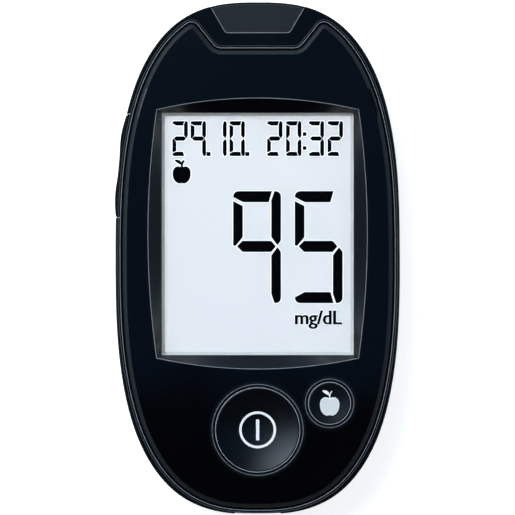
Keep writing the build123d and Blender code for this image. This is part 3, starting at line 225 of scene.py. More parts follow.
def brushed(name, dark, light, roughness, along=(1.0, 0.04, 1.0)):
    """Metal sheet with fine drawn lines."""
    material, tree, output = new_material(name)
    shader = tree.nodes.new("ShaderNodeBsdfPrincipled")
    shader.inputs["Metallic"].default_value = 1.0
    lines = noise(tree, 6000.0, 3.0, along)
    tree.links.new(tint(tree, spread(tree, lines, 0, 1), dark, light), shader.inputs["Base Color"])
    tree.links.new(spread(tree, lines, *roughness), shader.inputs["Roughness"])
    relief(tree, lines, 0.002, shader)
    tree.links.new(shader.outputs["BSDF"], output.inputs["Surface"])
    return material


def panel_gloss():
    """Polished black panel: satin along its outer bevel, with a painted sheen band on that bevel
    and a painted highlight round each button's opening.
    """
    material, tree, output = new_material("panel_gloss_black")
    shader = tree.nodes.new("ShaderNodeBsdfPrincipled")
    coordinates = tree.nodes.new("ShaderNodeTexCoord")
    place = tree.nodes.new("ShaderNodeSeparateXYZ")
    tree.links.new(coordinates.outputs["Object"], place.inputs["Vector"])
    facing = tree.nodes.new("ShaderNodeSeparateXYZ")
    tree.links.new(coordinates.outputs["Normal"], facing.inputs["Vector"])
    off_middle = calculated(tree, "ABSOLUTE", place.outputs["X"])
    aside = calculated(tree, "GREATER_THAN", off_middle, WINDOW_CLEAR_X * MM)
    above = calculated(tree, "GREATER_THAN", place.outputs["Y"], WINDOW_CLEAR_TOP * MM)
    below = calculated(tree, "LESS_THAN", place.outputs["Y"], WINDOW_CLEAR_LOW * MM)
    outside = calculated(tree, "MAXIMUM", aside, calculated(tree, "MAXIMUM", above, below))
    sloped = spread(tree, facing.outputs["Z"], 1, 0, *BEVEL_FACING, smooth=True)
    gentle = spread(tree, facing.outputs["Z"], 0, 1, *WALL_FACING, smooth=True)
    satin = spread(tree, facing.outputs["Z"], 1, 0, *SATIN_FACING)
    # painted sheen on the outer bevel, in place of its reflection
    bevel = calculated(tree, "MULTIPLY", outside, calculated(tree, "MULTIPLY", sloped, gentle))
    near_end = spread(tree, place.outputs["Y"], 0.4, 1, *(y * MM for y in BEVEL_NEAR_END))
    far_end = spread(tree, place.outputs["Y"], 1, 0.3, *(y * MM for y in BEVEL_FAR_END))
    painted_sheen = calculated(tree, "MULTIPLY", bevel, calculated(tree, "MULTIPLY", near_end, far_end))
    # painted highlight round each button's opening, fading outwards
    painted_halo = None
    for (x, y), radius in ((POWER, POWER_CAP + MOUTH), (MARKER, MARKER_CAP + MOUTH)):
        across = calculated(tree, "SUBTRACT", place.outputs["X"], x * MM)
        along = calculated(tree, "SUBTRACT", place.outputs["Y"], y * MM)
        square = calculated(tree, "MULTIPLY", along, along)
        reach = calculated(tree, "SQRT", calculated(tree, "MULTIPLY_ADD", across, across, square))
        near = spread(tree, reach, 1, 0, radius * MM, (radius + HALO_REACH) * MM)
        near = calculated(tree, "MULTIPLY", near, near)
        painted_halo = near if painted_halo is None else calculated(tree, "MAXIMUM", painted_halo, near)
    shade = tint(tree, spread(tree, noise(tree, 45.0), 0, 1), PANEL_DARK, PANEL_LIGHT)
    shade = tint(tree, painted_halo, shade, PANEL_PAINTED_HALO)
    shade = tint(tree, painted_sheen, shade, PANEL_PAINTED_SHEEN)
    tree.links.new(shade, shader.inputs["Base Color"])
    polish = spread(tree, noise(tree, 900.0, 5.0), 0.04, 0.07)
    dulling = calculated(tree, "MULTIPLY_ADD", outside, 0.3, 0.18)
    dulled = calculated(tree, "MULTIPLY", satin, dulling)
    tree.links.new(calculated(tree, "ADD", dulled, polish), shader.inputs["Roughness"])
    relief(tree, noise(tree, 2500.0, 2.0), 0.0002, shader)
    tree.links.new(shader.outputs["BSDF"], output.inputs["Surface"])
    return material


def clear_lens():
    """Clear moulded window with a thin reflection, which lets the lamps through."""
    material, tree, output = new_material("display_window_clear")
    shader = tree.nodes.new("ShaderNodeBsdfPrincipled")
    shader.inputs["Base Color"].default_value = (0.97, 0.99, 1.0, 1)
    shader.inputs["Transmission Weight"].default_value = 1.0
    shader.inputs["IOR"].default_value = 1.13
    tree.links.new(spread(tree, noise(tree, 500.0), 0.0, 0.01), shader.inputs["Roughness"])
    through = tree.nodes.new("ShaderNodeBsdfTransparent")
    through.inputs["Color"].default_value = (0.97, 0.985, 1.0, 1)
    mix = tree.nodes.new("ShaderNodeMixShader")
    ray = tree.nodes.new("ShaderNodeLightPath")
    tree.links.new(ray.outputs["Is Shadow Ray"], mix.inputs["Fac"])
    tree.links.new(shader.outputs["BSDF"], mix.inputs[1])
    tree.links.new(through.outputs["BSDF"], mix.inputs[2])
    tree.links.new(mix.outputs["Shader"], output.inputs["Surface"])
    return material


def display_face(name, dark, light, glow):
    """Backlit display glass: pale, faintly uneven, with light of its own, and painted light along
    its left and top edges, where the window's walls shade it.
    """
    material, tree, output = new_material(name)
    shader = tree.nodes.new("ShaderNodeBsdfPrincipled")
    shader.inputs["Specular IOR Level"].default_value = 0.2
    shader.inputs["Emission Strength"].default_value = glow
    place = tree.nodes.new("ShaderNodeSeparateXYZ")
    tree.links.new(object_place(tree), place.inputs["Vector"])
    along = spread(tree, place.outputs["Y"], 0, 1, WINDOW_LOW * MM, WINDOW_HIGH * MM)
    cloud = spread(tree, noise(tree, 60.0), -0.12, 0.12)
    colour = tint(tree, calculated(tree, "ADD", along, cloud), dark, light)
    # painted light along the left and top edges, against the window's shade
    left_end, top_start = GLASS_LEFT + GLASS_LEFT_FADE, GLASS_TOP - GLASS_TOP_FADE
    left = spread(tree, place.outputs["X"], 1, 0, GLASS_LEFT * MM, left_end * MM)
    top = spread(tree, place.outputs["Y"], 0, 1, top_start * MM, GLASS_TOP * MM)
    rim = calculated(tree, "MAXIMUM", left, top)
    colour = tint(tree, calculated(tree, "MULTIPLY", rim, rim), colour, GLASS_SHADE_LIFT)
    tree.links.new(colour, shader.inputs["Base Color"])
    tree.links.new(colour, shader.inputs["Emission Color"])
    tree.links.new(spread(tree, noise(tree, 700.0), 0.3, 0.4), shader.inputs["Roughness"])
    tree.links.new(shader.outputs["BSDF"], output.inputs["Surface"])
    return material


PANEL_BLACK = panel_gloss()
CAP_BLACK = moulded(
    "cap_gloss_black", (0.0014, 0.0020, 0.0028), (0.0018, 0.0025, 0.0034), (0.20, 0.25),
    grain=0.0003, grain_scale=3000.0,
)
SHELL_BLACK = moulded(
    "front_shell_satin_black", (0.0016, 0.0034, 0.0058), (0.0024, 0.0046, 0.0074), (0.30, 0.36),
    grain=0.0006, grain_scale=7000.0, specular=0.03, matt_sides=0.5,
)
CASE_BLACK = moulded(
    "rear_case_satin_black", (0.0046, 0.0060, 0.0078), (0.0068, 0.0084, 0.0104), (0.38, 0.52),
    grain=0.010, grain_scale=4200.0, specular=0.12,
)
KEY_BLACK = moulded(
    "side_key_satin_black", (0.0030, 0.0044, 0.0060), (0.0042, 0.0058, 0.0076), (0.26, 0.34),
    grain=0.002, grain_scale=6000.0, specular=0.05, matt_sides=0.5,
)
PORT_GREY = moulded(
    "strip_port_grey", (0.0102, 0.0140, 0.0160), (0.0128, 0.0168, 0.0190), (0.30, 0.40),
    grain=0.0012, grain_scale=6000.0, specular=0.2,
)
BEZEL_GREY = moulded(
    "display_frame_grey", (0.455, 0.455, 0.445), (0.495, 0.49, 0.485), (0.35, 0.45)
)
LENS_CLEAR = clear_lens()
GLASS_LIT = display_face(
    "display_glass_backlit", (0.494, 0.490, 0.494), (0.506, 0.500, 0.502), GLASS_GLOW
)
BORDER_WHITE = display_face(
    "segment_border_white", (0.78, 0.80, 0.82), (0.80, 0.82, 0.84), GLASS_GLOW
)
REAR_GLASS = display_face("display_rear_glass", (0.60, 0.70, 0.78), (0.68, 0.77, 0.84), 0.1)
DIFFUSER = moulded("diffuser_frosted_white", (0.74, 0.78, 0.82), (0.80, 0.84, 0.88), (0.5, 0.6))
LED_RESIN = moulded("light_resin_pale", (0.80, 0.78, 0.62), (0.88, 0.86, 0.72), (0.2, 0.3))
HOLDER_WHITE = moulded("holder_white_plastic", (0.66, 0.67, 0.69), (0.72, 0.73, 0.75), (0.4, 0.5))
RUBBER_GREY = moulded("contact_rubber_grey", (0.26, 0.26, 0.27), (0.32, 0.32, 0.33), (0.6, 0.75))
NUB_RUBBER = moulded("nub_rubber_black", (0.03, 0.03, 0.03), (0.045, 0.045, 0.045), (0.6, 0.75))
BOARD_GREEN = moulded(
    "board_solder_resist", (0.008, 0.085, 0.035), (0.012, 0.11, 0.05), (0.22, 0.34)
)
CHIP_BLACK = moulded(
    "chip_moulding_black", (0.016, 0.016, 0.017), (0.022, 0.022, 0.023), (0.5, 0.6)
)
PASSIVE_TAN = moulded("passive_ceramic_tan", (0.28, 0.20, 0.13), (0.36, 0.27, 0.18), (0.4, 0.55))
CONTACT_GOLD = brushed("contact_gold_plate", (0.62, 0.42, 0.14), (0.78, 0.56, 0.24), (0.2, 0.32))
SOCKET_STEEL = brushed("socket_steel_sheet", (0.50, 0.50, 0.51), (0.62, 0.62, 0.63), (0.24, 0.36))
LEAF_STEEL = brushed("leaf_nickel_plate", (0.52, 0.51, 0.48), (0.66, 0.65, 0.61), (0.22, 0.34))
CELL_STEEL = brushed("cell_nickel_steel", (0.54, 0.54, 0.54), (0.66, 0.66, 0.65), (0.18, 0.3))
SCREW_STEEL = brushed(
    "screw_blackened_steel", (0.09, 0.09, 0.095), (0.14, 0.14, 0.145), (0.3, 0.42)
)
SEGMENT_INK = moulded(
    "segment_black", (0.0008, 0.0008, 0.0010), (0.0014, 0.0014, 0.0017), (0.5, 0.6), specular=0.0
)
SYMBOL_WHITE = moulded("symbol_print_white", (0.93, 0.93, 0.93), (0.96, 0.96, 0.96), (0.35, 0.45))
SYMBOL_PALE = moulded(
    "symbol_print_pale_blue", (0.705, 0.735, 0.735), (0.745, 0.77, 0.77), (0.35, 0.45)
)
# pale bead colours that paint the highlights along edges; the dim one paints a fainter highlight
EDGE_HIGHLIGHT = moulded("painted_edge_highlight", (0.21, 0.235, 0.265), (0.27, 0.295, 0.33), (0.25, 0.35))
CAP_RIM_HIGHLIGHT = moulded("painted_cap_rim_highlight", (0.44, 0.46, 0.49), (0.52, 0.54, 0.57), (0.25, 0.35))
EDGE_DIM_HIGHLIGHT = moulded("painted_dim_edge_highlight", (0.028, 0.034, 0.040), (0.042, 0.049, 0.057), (0.30, 0.40))

FINISHES = {
    "front_panel": PANEL_BLACK,
    "front_housing": SHELL_BLACK,
    "rear_housing": CASE_BLACK,
    "battery_door": CASE_BLACK,
    "door_latch": CASE_BLACK,
    "side_key": KEY_BLACK,
    "strip_port_insert": PORT_GREY,
    "power_button": CAP_BLACK,
    "marker_button": CAP_BLACK,
    "display_lens": LENS_CLEAR,
    "display_bezel": BEZEL_GREY,
    "lcd_front_glass": GLASS_LIT,
    "lcd_rear_glass": REAR_GLASS,
    "backlight_diffuser": DIFFUSER,
    "backlight_leds": LED_RESIN,
    "lcd_holder": HOLDER_WHITE,
    "zebra_connector": RUBBER_GREY,
    "main_board": BOARD_GREEN,
    "microcontroller": CHIP_BLACK,
    "memory_chip": CHIP_BLACK,
    "crystal": SOCKET_STEEL,
    "passives": PASSIVE_TAN,
    "buzzer": CHIP_BLACK,
    "strip_connector": CHIP_BLACK,
    "strip_contacts": CONTACT_GOLD,
    "usb_shell": SOCKET_STEEL,
    "usb_insert": CHIP_BLACK,
    "power_dome": LEAF_STEEL,
    "marker_dome": LEAF_STEEL,
    "side_switch_upper": CHIP_BLACK,
    "side_switch_lower": CHIP_BLACK,
    "switch_nub_upper": NUB_RUBBER,
    "switch_nub_lower": NUB_RUBBER,
    "coin_cell_left": CELL_STEEL,
    "coin_cell_right": CELL_STEEL,
    "negative_contacts": LEAF_STEEL,
    "positive_contacts": LEAF_STEEL,
    "housing_screws": SCREW_STEEL,
    "board_screws": SCREW_STEEL,
}
for node_name, finish in FINISHES.items():
    for material_slot in nodes[node_name].material_slots:
        material_slot.material = finish


# ---- Painted highlight lines along edges ----------------------------------------------------
def bead_tree():
    """Geometry Nodes: a round bead along the edges of a mesh."""
    tree = bpy.data.node_groups.new("edge_bead", "GeometryNodeTree")
    for name, kind in (("Path", "NodeSocketGeometry"), ("Bead Radius", "NodeSocketFloat"),
                       ("Bead Sides", "NodeSocketInt"), ("Bead Finish", "NodeSocketMaterial")):
        tree.interface.new_socket(name, in_out="INPUT", socket_type=kind)
    tree.interface.new_socket("Bead", in_out="OUTPUT", socket_type="NodeSocketGeometry")
    given = tree.nodes.new("NodeGroupInput")
    path = tree.nodes.new("GeometryNodeMeshToCurve")
    section = tree.nodes.new("GeometryNodeCurvePrimitiveCircle")
    tube = tree.nodes.new("GeometryNodeCurveToMesh")
    tube.inputs["Fill Caps"].default_value = True
    real = tree.nodes.new("GeometryNodeRealizeInstances")
    finish = tree.nodes.new("GeometryNodeSetMaterial")
    result = tree.nodes.new("NodeGroupOutput")
    for source, target in (
        (given.outputs["Path"], path.inputs["Mesh"]),
        (given.outputs["Bead Radius"], section.inputs["Radius"]),
        (given.outputs["Bead Sides"], section.inputs["Resolution"]),
        (path.outputs["Curve"], tube.inputs["Curve"]),
        (section.outputs["Curve"], tube.inputs["Profile Curve"]),
        (tube.outputs["Mesh"], real.inputs["Geometry"]),
        (real.outputs["Geometry"], finish.inputs["Geometry"]),
        (given.outputs["Bead Finish"], finish.inputs["Material"]),
        (finish.outputs["Geometry"], result.inputs["Bead"]),
    ):
        tree.links.new(source, target)
    return tree


EDGE_BEAD = bead_tree()


def bead(name, points, edges, material, body, radius=LINE):
    """Bead of a radius along edges between points in millimetres."""
    mesh = bpy.data.meshes.new(name)
    mesh.from_pydata([Vector(point) * MM for point in points], edges, [])
    piece = bpy.data.objects.new(name, mesh)
    bpy.context.scene.collection.objects.link(piece)
    modifier = piece.modifiers.new("edge_bead", "NODES")
    modifier.node_group = EDGE_BEAD
    values = {"Bead Radius": radius * MM, "Bead Sides": 8, "Bead Finish": material}
    for item in EDGE_BEAD.interface.items_tree:
        if item.name in values:
            modifier[item.identifier] = values[item.name]
    graph = bpy.context.evaluated_depsgraph_get()
    made = bpy.data.meshes.new_from_object(piece.evaluated_get(graph))
    piece.modifiers.clear()
    piece.data = made
    made.shade_smooth()
    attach(piece, body)
    return piece


def bead_along(name, points, material, body, closed=True, radius=LINE):
    """Bead through points in order."""
    edges = [(i, i + 1) for i in range(len(points) - 1)]
    if closed:
        edges.append((len(points) - 1, 0))
    return bead(name, points, edges, material, body, radius)


def sharp_edges(node, keep, least=30.0):
    """A node's sharp edges whose middles pass a test, as pairs of places in millimetres."""
    form = bmesh.new()
    form.from_mesh(nodes[node].data)
    bmesh.ops.remove_doubles(form, verts=form.verts, dist=1e-6)
    found = []
    for edge in form.edges:
        if len(edge.link_faces) != 2 or edge.calc_face_angle() < math.radians(least):
            continue
        ends = [vert.co / MM for vert in edge.verts]
        if keep((ends[0] + ends[1]) / 2):
            found.append(ends)
    form.free()
    return found


def chains(edges):
    """Edges sorted into connected chains: the points and the index pairs of each."""
    places = {}
    linked = {}
    for ends in edges:
        keys = [tuple(round(c, 3) for c in end) for end in ends]
        for key, end in zip(keys, ends):
            places[key] = end
        linked.setdefault(keys[0], set()).add(keys[1])
        linked.setdefault(keys[1], set()).add(keys[0])
    result = []
    waiting = set(places)
    while waiting:
        group, front = [], [min(waiting)]
        waiting.discard(front[0])
        while front:
            key = front.pop()
            group.append(key)
            for other in sorted(linked[key]):
                if other in waiting:
                    waiting.discard(other)
                    front.append(other)
        order = {key: index for index, key in enumerate(group)}
        pairs = [(order[a], order[b]) for a in group for b in sorted(linked[a]) if a < b]
        result.append(([places[key] for key in group], pairs))
    return result


def width(chain):
    """How far a chain reaches across."""
    across = [point.x for point in chain[0]]
    return max(across) - min(across)


def lip_lines():
    """Painted highlight lines on the two edges of the lip that stands round the panel and its
    notch.
    """
    def on_lip(place):
        return abs(place.z - crown(place.x, place.y) + LIP_DROP) < EDGE_SLACK

    found = sorted(chains(sharp_edges("front_housing", on_lip)), key=width)
    found = [chain for chain in found if width(chain) > LENGTH / 3]
    inner, outer = found[0], found[-1]
    bead("lip_inner_line", *inner, EDGE_HIGHLIGHT, "meter")
    bead("lip_outer_line", *outer, EDGE_DIM_HIGHLIGHT, "meter")


def port_line():
    """Painted highlight line on the chamfered edge of the strip port block, apart from its outer
    end.
    """
    def on_edge(place):
        level = crown(place.x, place.y) - PORT_DROP
        return abs(place.z - level) < EDGE_SLACK and place.y < LENGTH / 2 - PORT_OPEN_END

    longest = max(chains(sharp_edges("strip_port_insert", on_edge, 20.0)), key=width)
    bead("port_edge_line", *longest, EDGE_HIGHLIGHT, "meter")


def bowed_edge(start, through, end, steps=28):
    """Points of a parabola that leaves start and meets end, through a middle point."""
    points = []
    for step in range(steps):
        share = step / steps
        bulge = 4 * share * (1 - share)
        straight = start.lerp(end, share)
        points.append(straight + (through - (start + end) / 2) * bulge)
    return points


def window_line():
    """Painted highlight line on the edge where the face turns down to the display."""
    corner_x = WINDOW_HALF_X + FLARE_CORNER_X
    top, low = WINDOW_HIGH + FLARE_CORNER_Y, WINDOW_LOW - FLARE_CORNER_Y
    middle = (WINDOW_LOW + WINDOW_HIGH) / 2
    side = WINDOW_HALF_X + FLARE_SIDE
    corners = ((corner_x, low), (corner_x, top), (-corner_x, top), (-corner_x, low))
    bulges = ((side, middle), (0, WINDOW_HIGH + FLARE_TOP), (-side, middle),
              (0, WINDOW_LOW - FLARE_BOTTOM))
    corners, bulges = [Vector(p) for p in corners], [Vector(p) for p in bulges]
    points = []
    for index, bulge in enumerate(bulges):
        points.extend(bowed_edge(corners[index], bulge, corners[(index + 1) % 4]))
    raised = [(p.x, p.y, crown(p.x, p.y) - LINE / 2) for p in points]
    bead_along("window_edge_line", raised, EDGE_HIGHLIGHT, "meter", radius=LINE * 0.95)


def ring(x, y, radius, steps=96):
    """Circle of places in plan."""
    turns = [2 * math.pi * step / steps for step in range(steps)]
    return [Vector((x + radius * math.cos(turn), y + radius * math.sin(turn))) for turn in turns]


def button_lines():
    """Painted highlight lines on the edge of each cap, and of the opening round it."""
    for name, place, radius, body in (
        ("power", POWER, POWER_CAP, "power"), ("marker", MARKER, MARKER_CAP, "marker"),
    ):
        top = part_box(name + "_button")[1].z / MM - LINE
        cap = [(p.x, p.y, top) for p in ring(*place, radius - CAP_EDGE)]
        bead_along(name + "_cap_line", cap, CAP_RIM_HIGHLIGHT, body, radius=LINE * 0.75)
        mouth = [(p.x, p.y, crown(p.x, p.y) - 0.02) for p in ring(*place, radius + MOUTH)]
        bead_along(name + "_mouth_line", mouth, EDGE_HIGHLIGHT, "meter", radius=LINE * 0.65)


def key_lines():
    """Painted highlight line on the housing's edge at each end of the side key, where rays from
    above meet it.
    """
    housing = nodes["front_housing"]
    low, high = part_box("side_key")
    for name, level in (("upper", high.y + KEY_GAP * MM), ("lower", low.y - KEY_GAP * MM)):
        across = [low.x + step * KEY_STEP * MM for step in range(60)]
        hits = [housing.ray_cast(Vector((x, level, 0.05)), Vector((0, 0, -1))) for x in across]
        rim = [place / MM for found, place, _, _ in hits if found][1:8]
        bead_along(f"key_{name}_line", rim, CAP_RIM_HIGHLIGHT, "meter", radius=LINE * 1.2, closed=False)


lip_lines()
port_line()
window_line()
button_lines()
key_lines()


# ---- Flat shapes laid on a surface ----------------------------------------------------------
def curved(start, bend, end, steps=8):
    """Points of a curve from start to end, drawn towards a third point."""
    shares = [step / steps for step in range(steps + 1)]
    return [start * (1 - k) ** 2 + bend * 2 * k * (1 - k) + end * k**2 for k in shares]


def rounded(corners, radii, steps=6):
    """Outline with its corners rounded: a radius of 0 leaves a corner sharp."""
    outline = []
    count = len(corners)
    for index, (corner, radius) in enumerate(zip(corners, radii)):
        corner = Vector(corner)
        if radius == 0:
            outline.append(corner)
            continue
        before = (Vector(corners[index - 1]) - corner).normalized()
        after = (Vector(corners[(index + 1) % count]) - corner).normalized()
        reach = radius / math.tan(before.angle(after) / 2)
        start, end = corner + before * reach, corner + after * reach
        outline.extend(curved(start, corner, end, steps))
    return outline


def grown(outline, border):
    """Outline pushed outwards by a border, with mitred corners kept short."""
    count = len(outline)
    area = sum(outline[i - 1].cross(outline[i]) for i in range(count))
    side = 1 if area > 0 else -1
    result = []
    for index, corner in enumerate(outline):
        runs = (corner - outline[index - 1], outline[(index + 1) % count] - corner)
        normals = [Vector((run.y, -run.x)).normalized() * side for run in runs]
        middle = (normals[0] + normals[1]).normalized()
        result.append(corner + middle * border / max(0.55, middle.dot(normals[0])))
    return result


def laid(name, outlines, material, body, height, thickness=INK):
    """Thin solid of some outlines, laid on a surface whose height is known over each place."""
    curve = bpy.data.curves.new(name, "CURVE")
    curve.dimensions = "2D"
    curve.fill_mode = "BOTH"
    for outline in outlines:
        spline = curve.splines.new("POLY")
        spline.points.add(len(outline) - 1)
        for point, place in zip(spline.points, outline):
            point.co = (place[0], place[1], 0, 1)
        spline.use_cyclic_u = True
    return solid(name, flat_mesh(curve), material, body, height, thickness)


def flat_mesh(curve):
    """Mesh of a filled curve or text."""
    holder = bpy.data.objects.new(curve.name + "_outline", curve)
    flat = bpy.data.meshes.new_from_object(holder)
    bpy.data.objects.remove(holder)
    return flat


def solid(name, flat, material, body, height, thickness=INK):
    """Gives a flat mesh its thickness and its place on a surface."""
    form = bmesh.new()
    form.from_mesh(flat)
    bmesh.ops.remove_doubles(form, verts=form.verts, dist=1e-5)
    for face in form.faces:
        if face.normal.z < 0:
            face.normal_flip()
    lower = list(form.faces)
    copied = bmesh.ops.duplicate(form, geom=lower)
    raised = {item for item in copied["geom"] if isinstance(item, bmesh.types.BMVert)}
    above = dict(copied["vert_map"].items())
    for face in lower:
        face.normal_flip()
    rim = {edge for face in lower for edge in face.edges if len(edge.link_faces) == 1}
    for edge in rim:
        first, second = edge.verts
        form.faces.new((first, second, above[second], above[first]))
    for vert in form.verts:
        lift = thickness if vert in raised else 0.0
        vert.co = Vector((vert.co.x, vert.co.y, height(vert.co.x, vert.co.y) + lift)) * MM
    bmesh.ops.recalc_face_normals(form, faces=form.faces)
    mesh = bpy.data.meshes.new(name)
    form.to_mesh(mesh)
    form.free()
    mesh.materials.append(material)
    piece = bpy.data.objects.new(name, mesh)
    bpy.context.scene.collection.objects.link(piece)
    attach(piece, body)
    return piece


def on_display(layer):
    """Height function of a layer lying on the display glass."""
    return lambda x, y: DISPLAY_PLANE + 0.01 + layer * (INK + 0.01)


# ---- Seven-segment figures ------------------------------------------------------------------
LIT = {
    "0": "abcdef", "1": "bc", "2": "abged", "3": "abgcd", "5": "afgcd", "9": "abcfg",
}
TURNED_OVER = {"d": "a", "c": "b", "e": "f"}


def segment(name, x, y, width, height, stroke, bar, bend, split, tip, inner, outer, lift):
    """One bar of a figure whose lower left corner is x, y, with slanted joints."""
    right, top = x + width, y + height
    middle = y + height / 2
    if name in TURNED_OVER:
        turned = segment(TURNED_OVER[name], x, y, width, height, stroke, bar, bend, split,
                         tip - lift, inner - lift, outer - lift, 0.0)
        return [Vector((p.x, 2 * middle - p.y)) for p in turned]
    if name == "a":
        corners = [
            (x, top - bar * 0.52), (x, top), (right - stroke * 0.66 - split, top),
            (right - stroke - split, top - bar), (x + stroke * 1.05, top - bar),
        ]
        return rounded(corners, [0, bend, 0, 0, 0])
    if name == "b":
        corners = [
            (right - stroke * 0.66, top), (right, top), (right, middle + outer),
            (right - stroke * 0.36, middle + tip), (right - stroke, middle + inner),
            (right - stroke, top - bar * 0.85),
        ]
        return rounded(corners, [0, bend, 0, 0, 0, 0])
    if name == "f":
        corners = [
            (x, top - bar * 0.94), (x, middle + tip * 0.8), (x + stroke * 0.24, middle + tip * 0.7),
            (x + stroke, middle + inner), (x + stroke, top - bar * 1.38),
        ]
        return rounded(corners, [0] * 5)
    level = middle + lift * 0.4
    left_end, right_end = x + stroke * 0.42, right - stroke * 0.56
    left_shoulder, right_shoulder = x + stroke, right - stroke * 1.06
    corners = [
        (left_end, level), (left_shoulder, level + bar / 2), (right_shoulder, level + bar / 2),
        (right_end, level), (right_shoulder, level - bar / 2), (left_shoulder, level - bar / 2),
    ]
    return rounded(corners, [0] * 6)


def figure(text, x, y, **size):
    """The lit bars of one figure."""
    return [segment(name, x, y, **size) for name in LIT[text]]


def square(x, y, side):
    """Square stop, from its lower left corner."""
    return [Vector(p) for p in ((x, y), (x + side, y), (x + side, y + side), (x, y + side))]


# ---- Meal mark: a fruit with its stalk and leaf ---------------------------------------------
def fruit_body(x, y, wide, tall, steps=56):
    """Two-lobed fruit, fuller at the top, that fits a width and a height."""
    outline = []
    for step in range(steps):
        turn = 2 * math.pi * step / steps
        across = math.copysign(abs(math.sin(turn)) ** 0.82, math.sin(turn))
        up = math.copysign(abs(math.cos(turn)) ** 0.82, math.cos(turn))
        dip = 0.20 * math.exp(-((across / 0.34) ** 2)) if up > 0 else 0.0
        foot = 0.10 * math.exp(-((across / 0.22) ** 2)) if up < 0 else 0.0
        fullness = 0.93 + 0.07 * up - 0.05 * max(0.0, -up) ** 2
        outline.append(Vector((x + wide / 2 * across * fullness, y + tall / 2 * (up - dip + foot))))
    return outline


def ribbon(path, halves):
    """Outline of a stroke through points, with a half width at each."""
    left, right = [], []
    for index, (point, half) in enumerate(zip(path, halves)):
        run = path[min(index + 1, len(path) - 1)] - path[max(index - 1, 0)]
        side = Vector((-run.y, run.x)).normalized() * half
        left.append(point + side)
        right.append(point - side)
    return left + right[::-1]


def fruit_stalk(x, y, wide, tall, weight):
    """Curved stalk that rises from the dip and leans to the right."""
    root = Vector((x + wide * 0.02, y + tall * 0.36))
    bend = Vector((x - wide * 0.03, y + tall * 0.66))
    tip = Vector((x + wide * 0.12, y + tall * 0.78))
    path = curved(root, bend, tip)
    return ribbon(path, [wide * weight] * len(path))


def fruit_leaf(x, y, wide, tall, weight):
    """Leaf that leaves the stalk to the left, widest past its middle."""
    root = Vector((x - wide * 0.01, y + tall * 0.56))
    tip = Vector((x - wide * 0.355, y + tall * 0.80))
    path = curved(root, Vector((x - wide * 0.10, y + tall * 0.74)), tip)
    halves = [wide * (0.012 + 0.066 * math.sin(math.pi * (k / 8) ** 1.2) ** 0.8) for k in range(9)]
    return ribbon(path, halves)


def meal_mark(x, y, wide, tall, weight):
    """Outlines of the whole mark, about the middle of the fruit's body."""
    body = fruit_body(x, y, wide, tall)
    return [body, fruit_stalk(x, y, wide, tall, weight), fruit_leaf(x, y, wide, tall, weight)]


def cleaned(outline):
    """Outline without points that repeat."""
    result = []
    for point in outline:
        if not result or (point - result[-1]).length > 1e-3:
            result.append(point)
    if (result[0] - result[-1]).length < 1e-3:
        result.pop()
    return result


# ---- Display contents -----------------------------------------------------------------------
SMALL = dict(width=2.98, height=6.9, stroke=0.66, bar=0.76, bend=0.38, split=0.30,
             tip=0.14, inner=0.70, outer=0.60, lift=0.03)
SMALL_Y = 20.53
SMALL_FIGURES = "29102032"
SMALL_X = (-17.05, -13.4, -9.26, -5.6, 1.95, 5.75, 10.3, 14.1)
DATE_STOPS_X = (-10.22, -2.42)
DATE_STOP_SIDE = 0.72
TIME_STOPS = ((9.12, 21.78), (9.12, 24.58))
TIME_STOP_SIDE = 0.62
DISPLAY_MEAL = (-15.25, 16.74, 3.76, 3.58, 0.046)   # middle, width, height, weight of the stalk
LARGE = dict(width=9.5, height=22.4, stroke=1.84, bar=2.14, bend=1.2, split=0.60,
             tip=0.46, inner=2.04, outer=1.33, lift=0.38)
LARGE_Y = -9.0
LARGE_FIGURES = "95"
LARGE_X = (-4.87, 7.50)
UNIT_LEFT, UNIT_RIGHT = 7.47, 16.94
UNIT_FOOT, UNIT_TOP = -13.26, -10.42
UNIT_WEIGHT, UNIT_BORDER_WEIGHT = 0.012, 0.04
UNIT_BORDER = 0.16
UNIT_STRIKE = 0.07          # the ink is struck twice, this far to either side


def display_marks():
    """Every dark mark on the display: date, time, reading, stops and the meal mark."""
    marks = []
    for text, x in zip(SMALL_FIGURES, SMALL_X):
        marks.extend(figure(text, x, SMALL_Y, **SMALL))
    for text, x in zip(LARGE_FIGURES, LARGE_X):
        marks.extend(figure(text, x, LARGE_Y, **LARGE))
    marks.extend(square(x, SMALL_Y, DATE_STOP_SIDE) for x in DATE_STOPS_X)
    marks.extend(square(x, y, TIME_STOP_SIDE) for x, y in TIME_STOPS)
    marks.extend(meal_mark(*DISPLAY_MEAL))
    return [cleaned(mark) for mark in marks]


def lay_marks():
    """Each mark over its own pale border, all on the display glass."""
    for index, mark in enumerate(display_marks()):
        laid(f"border_{index:02d}", [grown(mark, HALO)], BORDER_WHITE, "meter", on_display(0))
        laid(f"segment_{index:02d}", [grown(mark, INK_SPREAD)], SEGMENT_INK, "meter", on_display(1))


def unit_text(name, weight, grow, shift, material, layer):
    """The unit under the reading, at a stroke weight, grown by a border and shifted aside."""
    curve = bpy.data.curves.new(name, "FONT")
    curve.body = "mg/dL"
    curve.offset = weight
    flat = flat_mesh(curve)
    across = [vert.co.x for vert in flat.vertices]
    low, high = min(across), max(across)
    top = max(vert.co.y for vert in flat.vertices)
    for vert in flat.vertices:
        share = (vert.co.x - low) / (high - low)
        vert.co.x = UNIT_LEFT - grow + share * (UNIT_RIGHT - UNIT_LEFT + 2 * grow) + shift
        vert.co.y = UNIT_FOOT + vert.co.y / top * (UNIT_TOP - UNIT_FOOT + grow)
    solid(name, flat, material, "meter", on_display(layer))


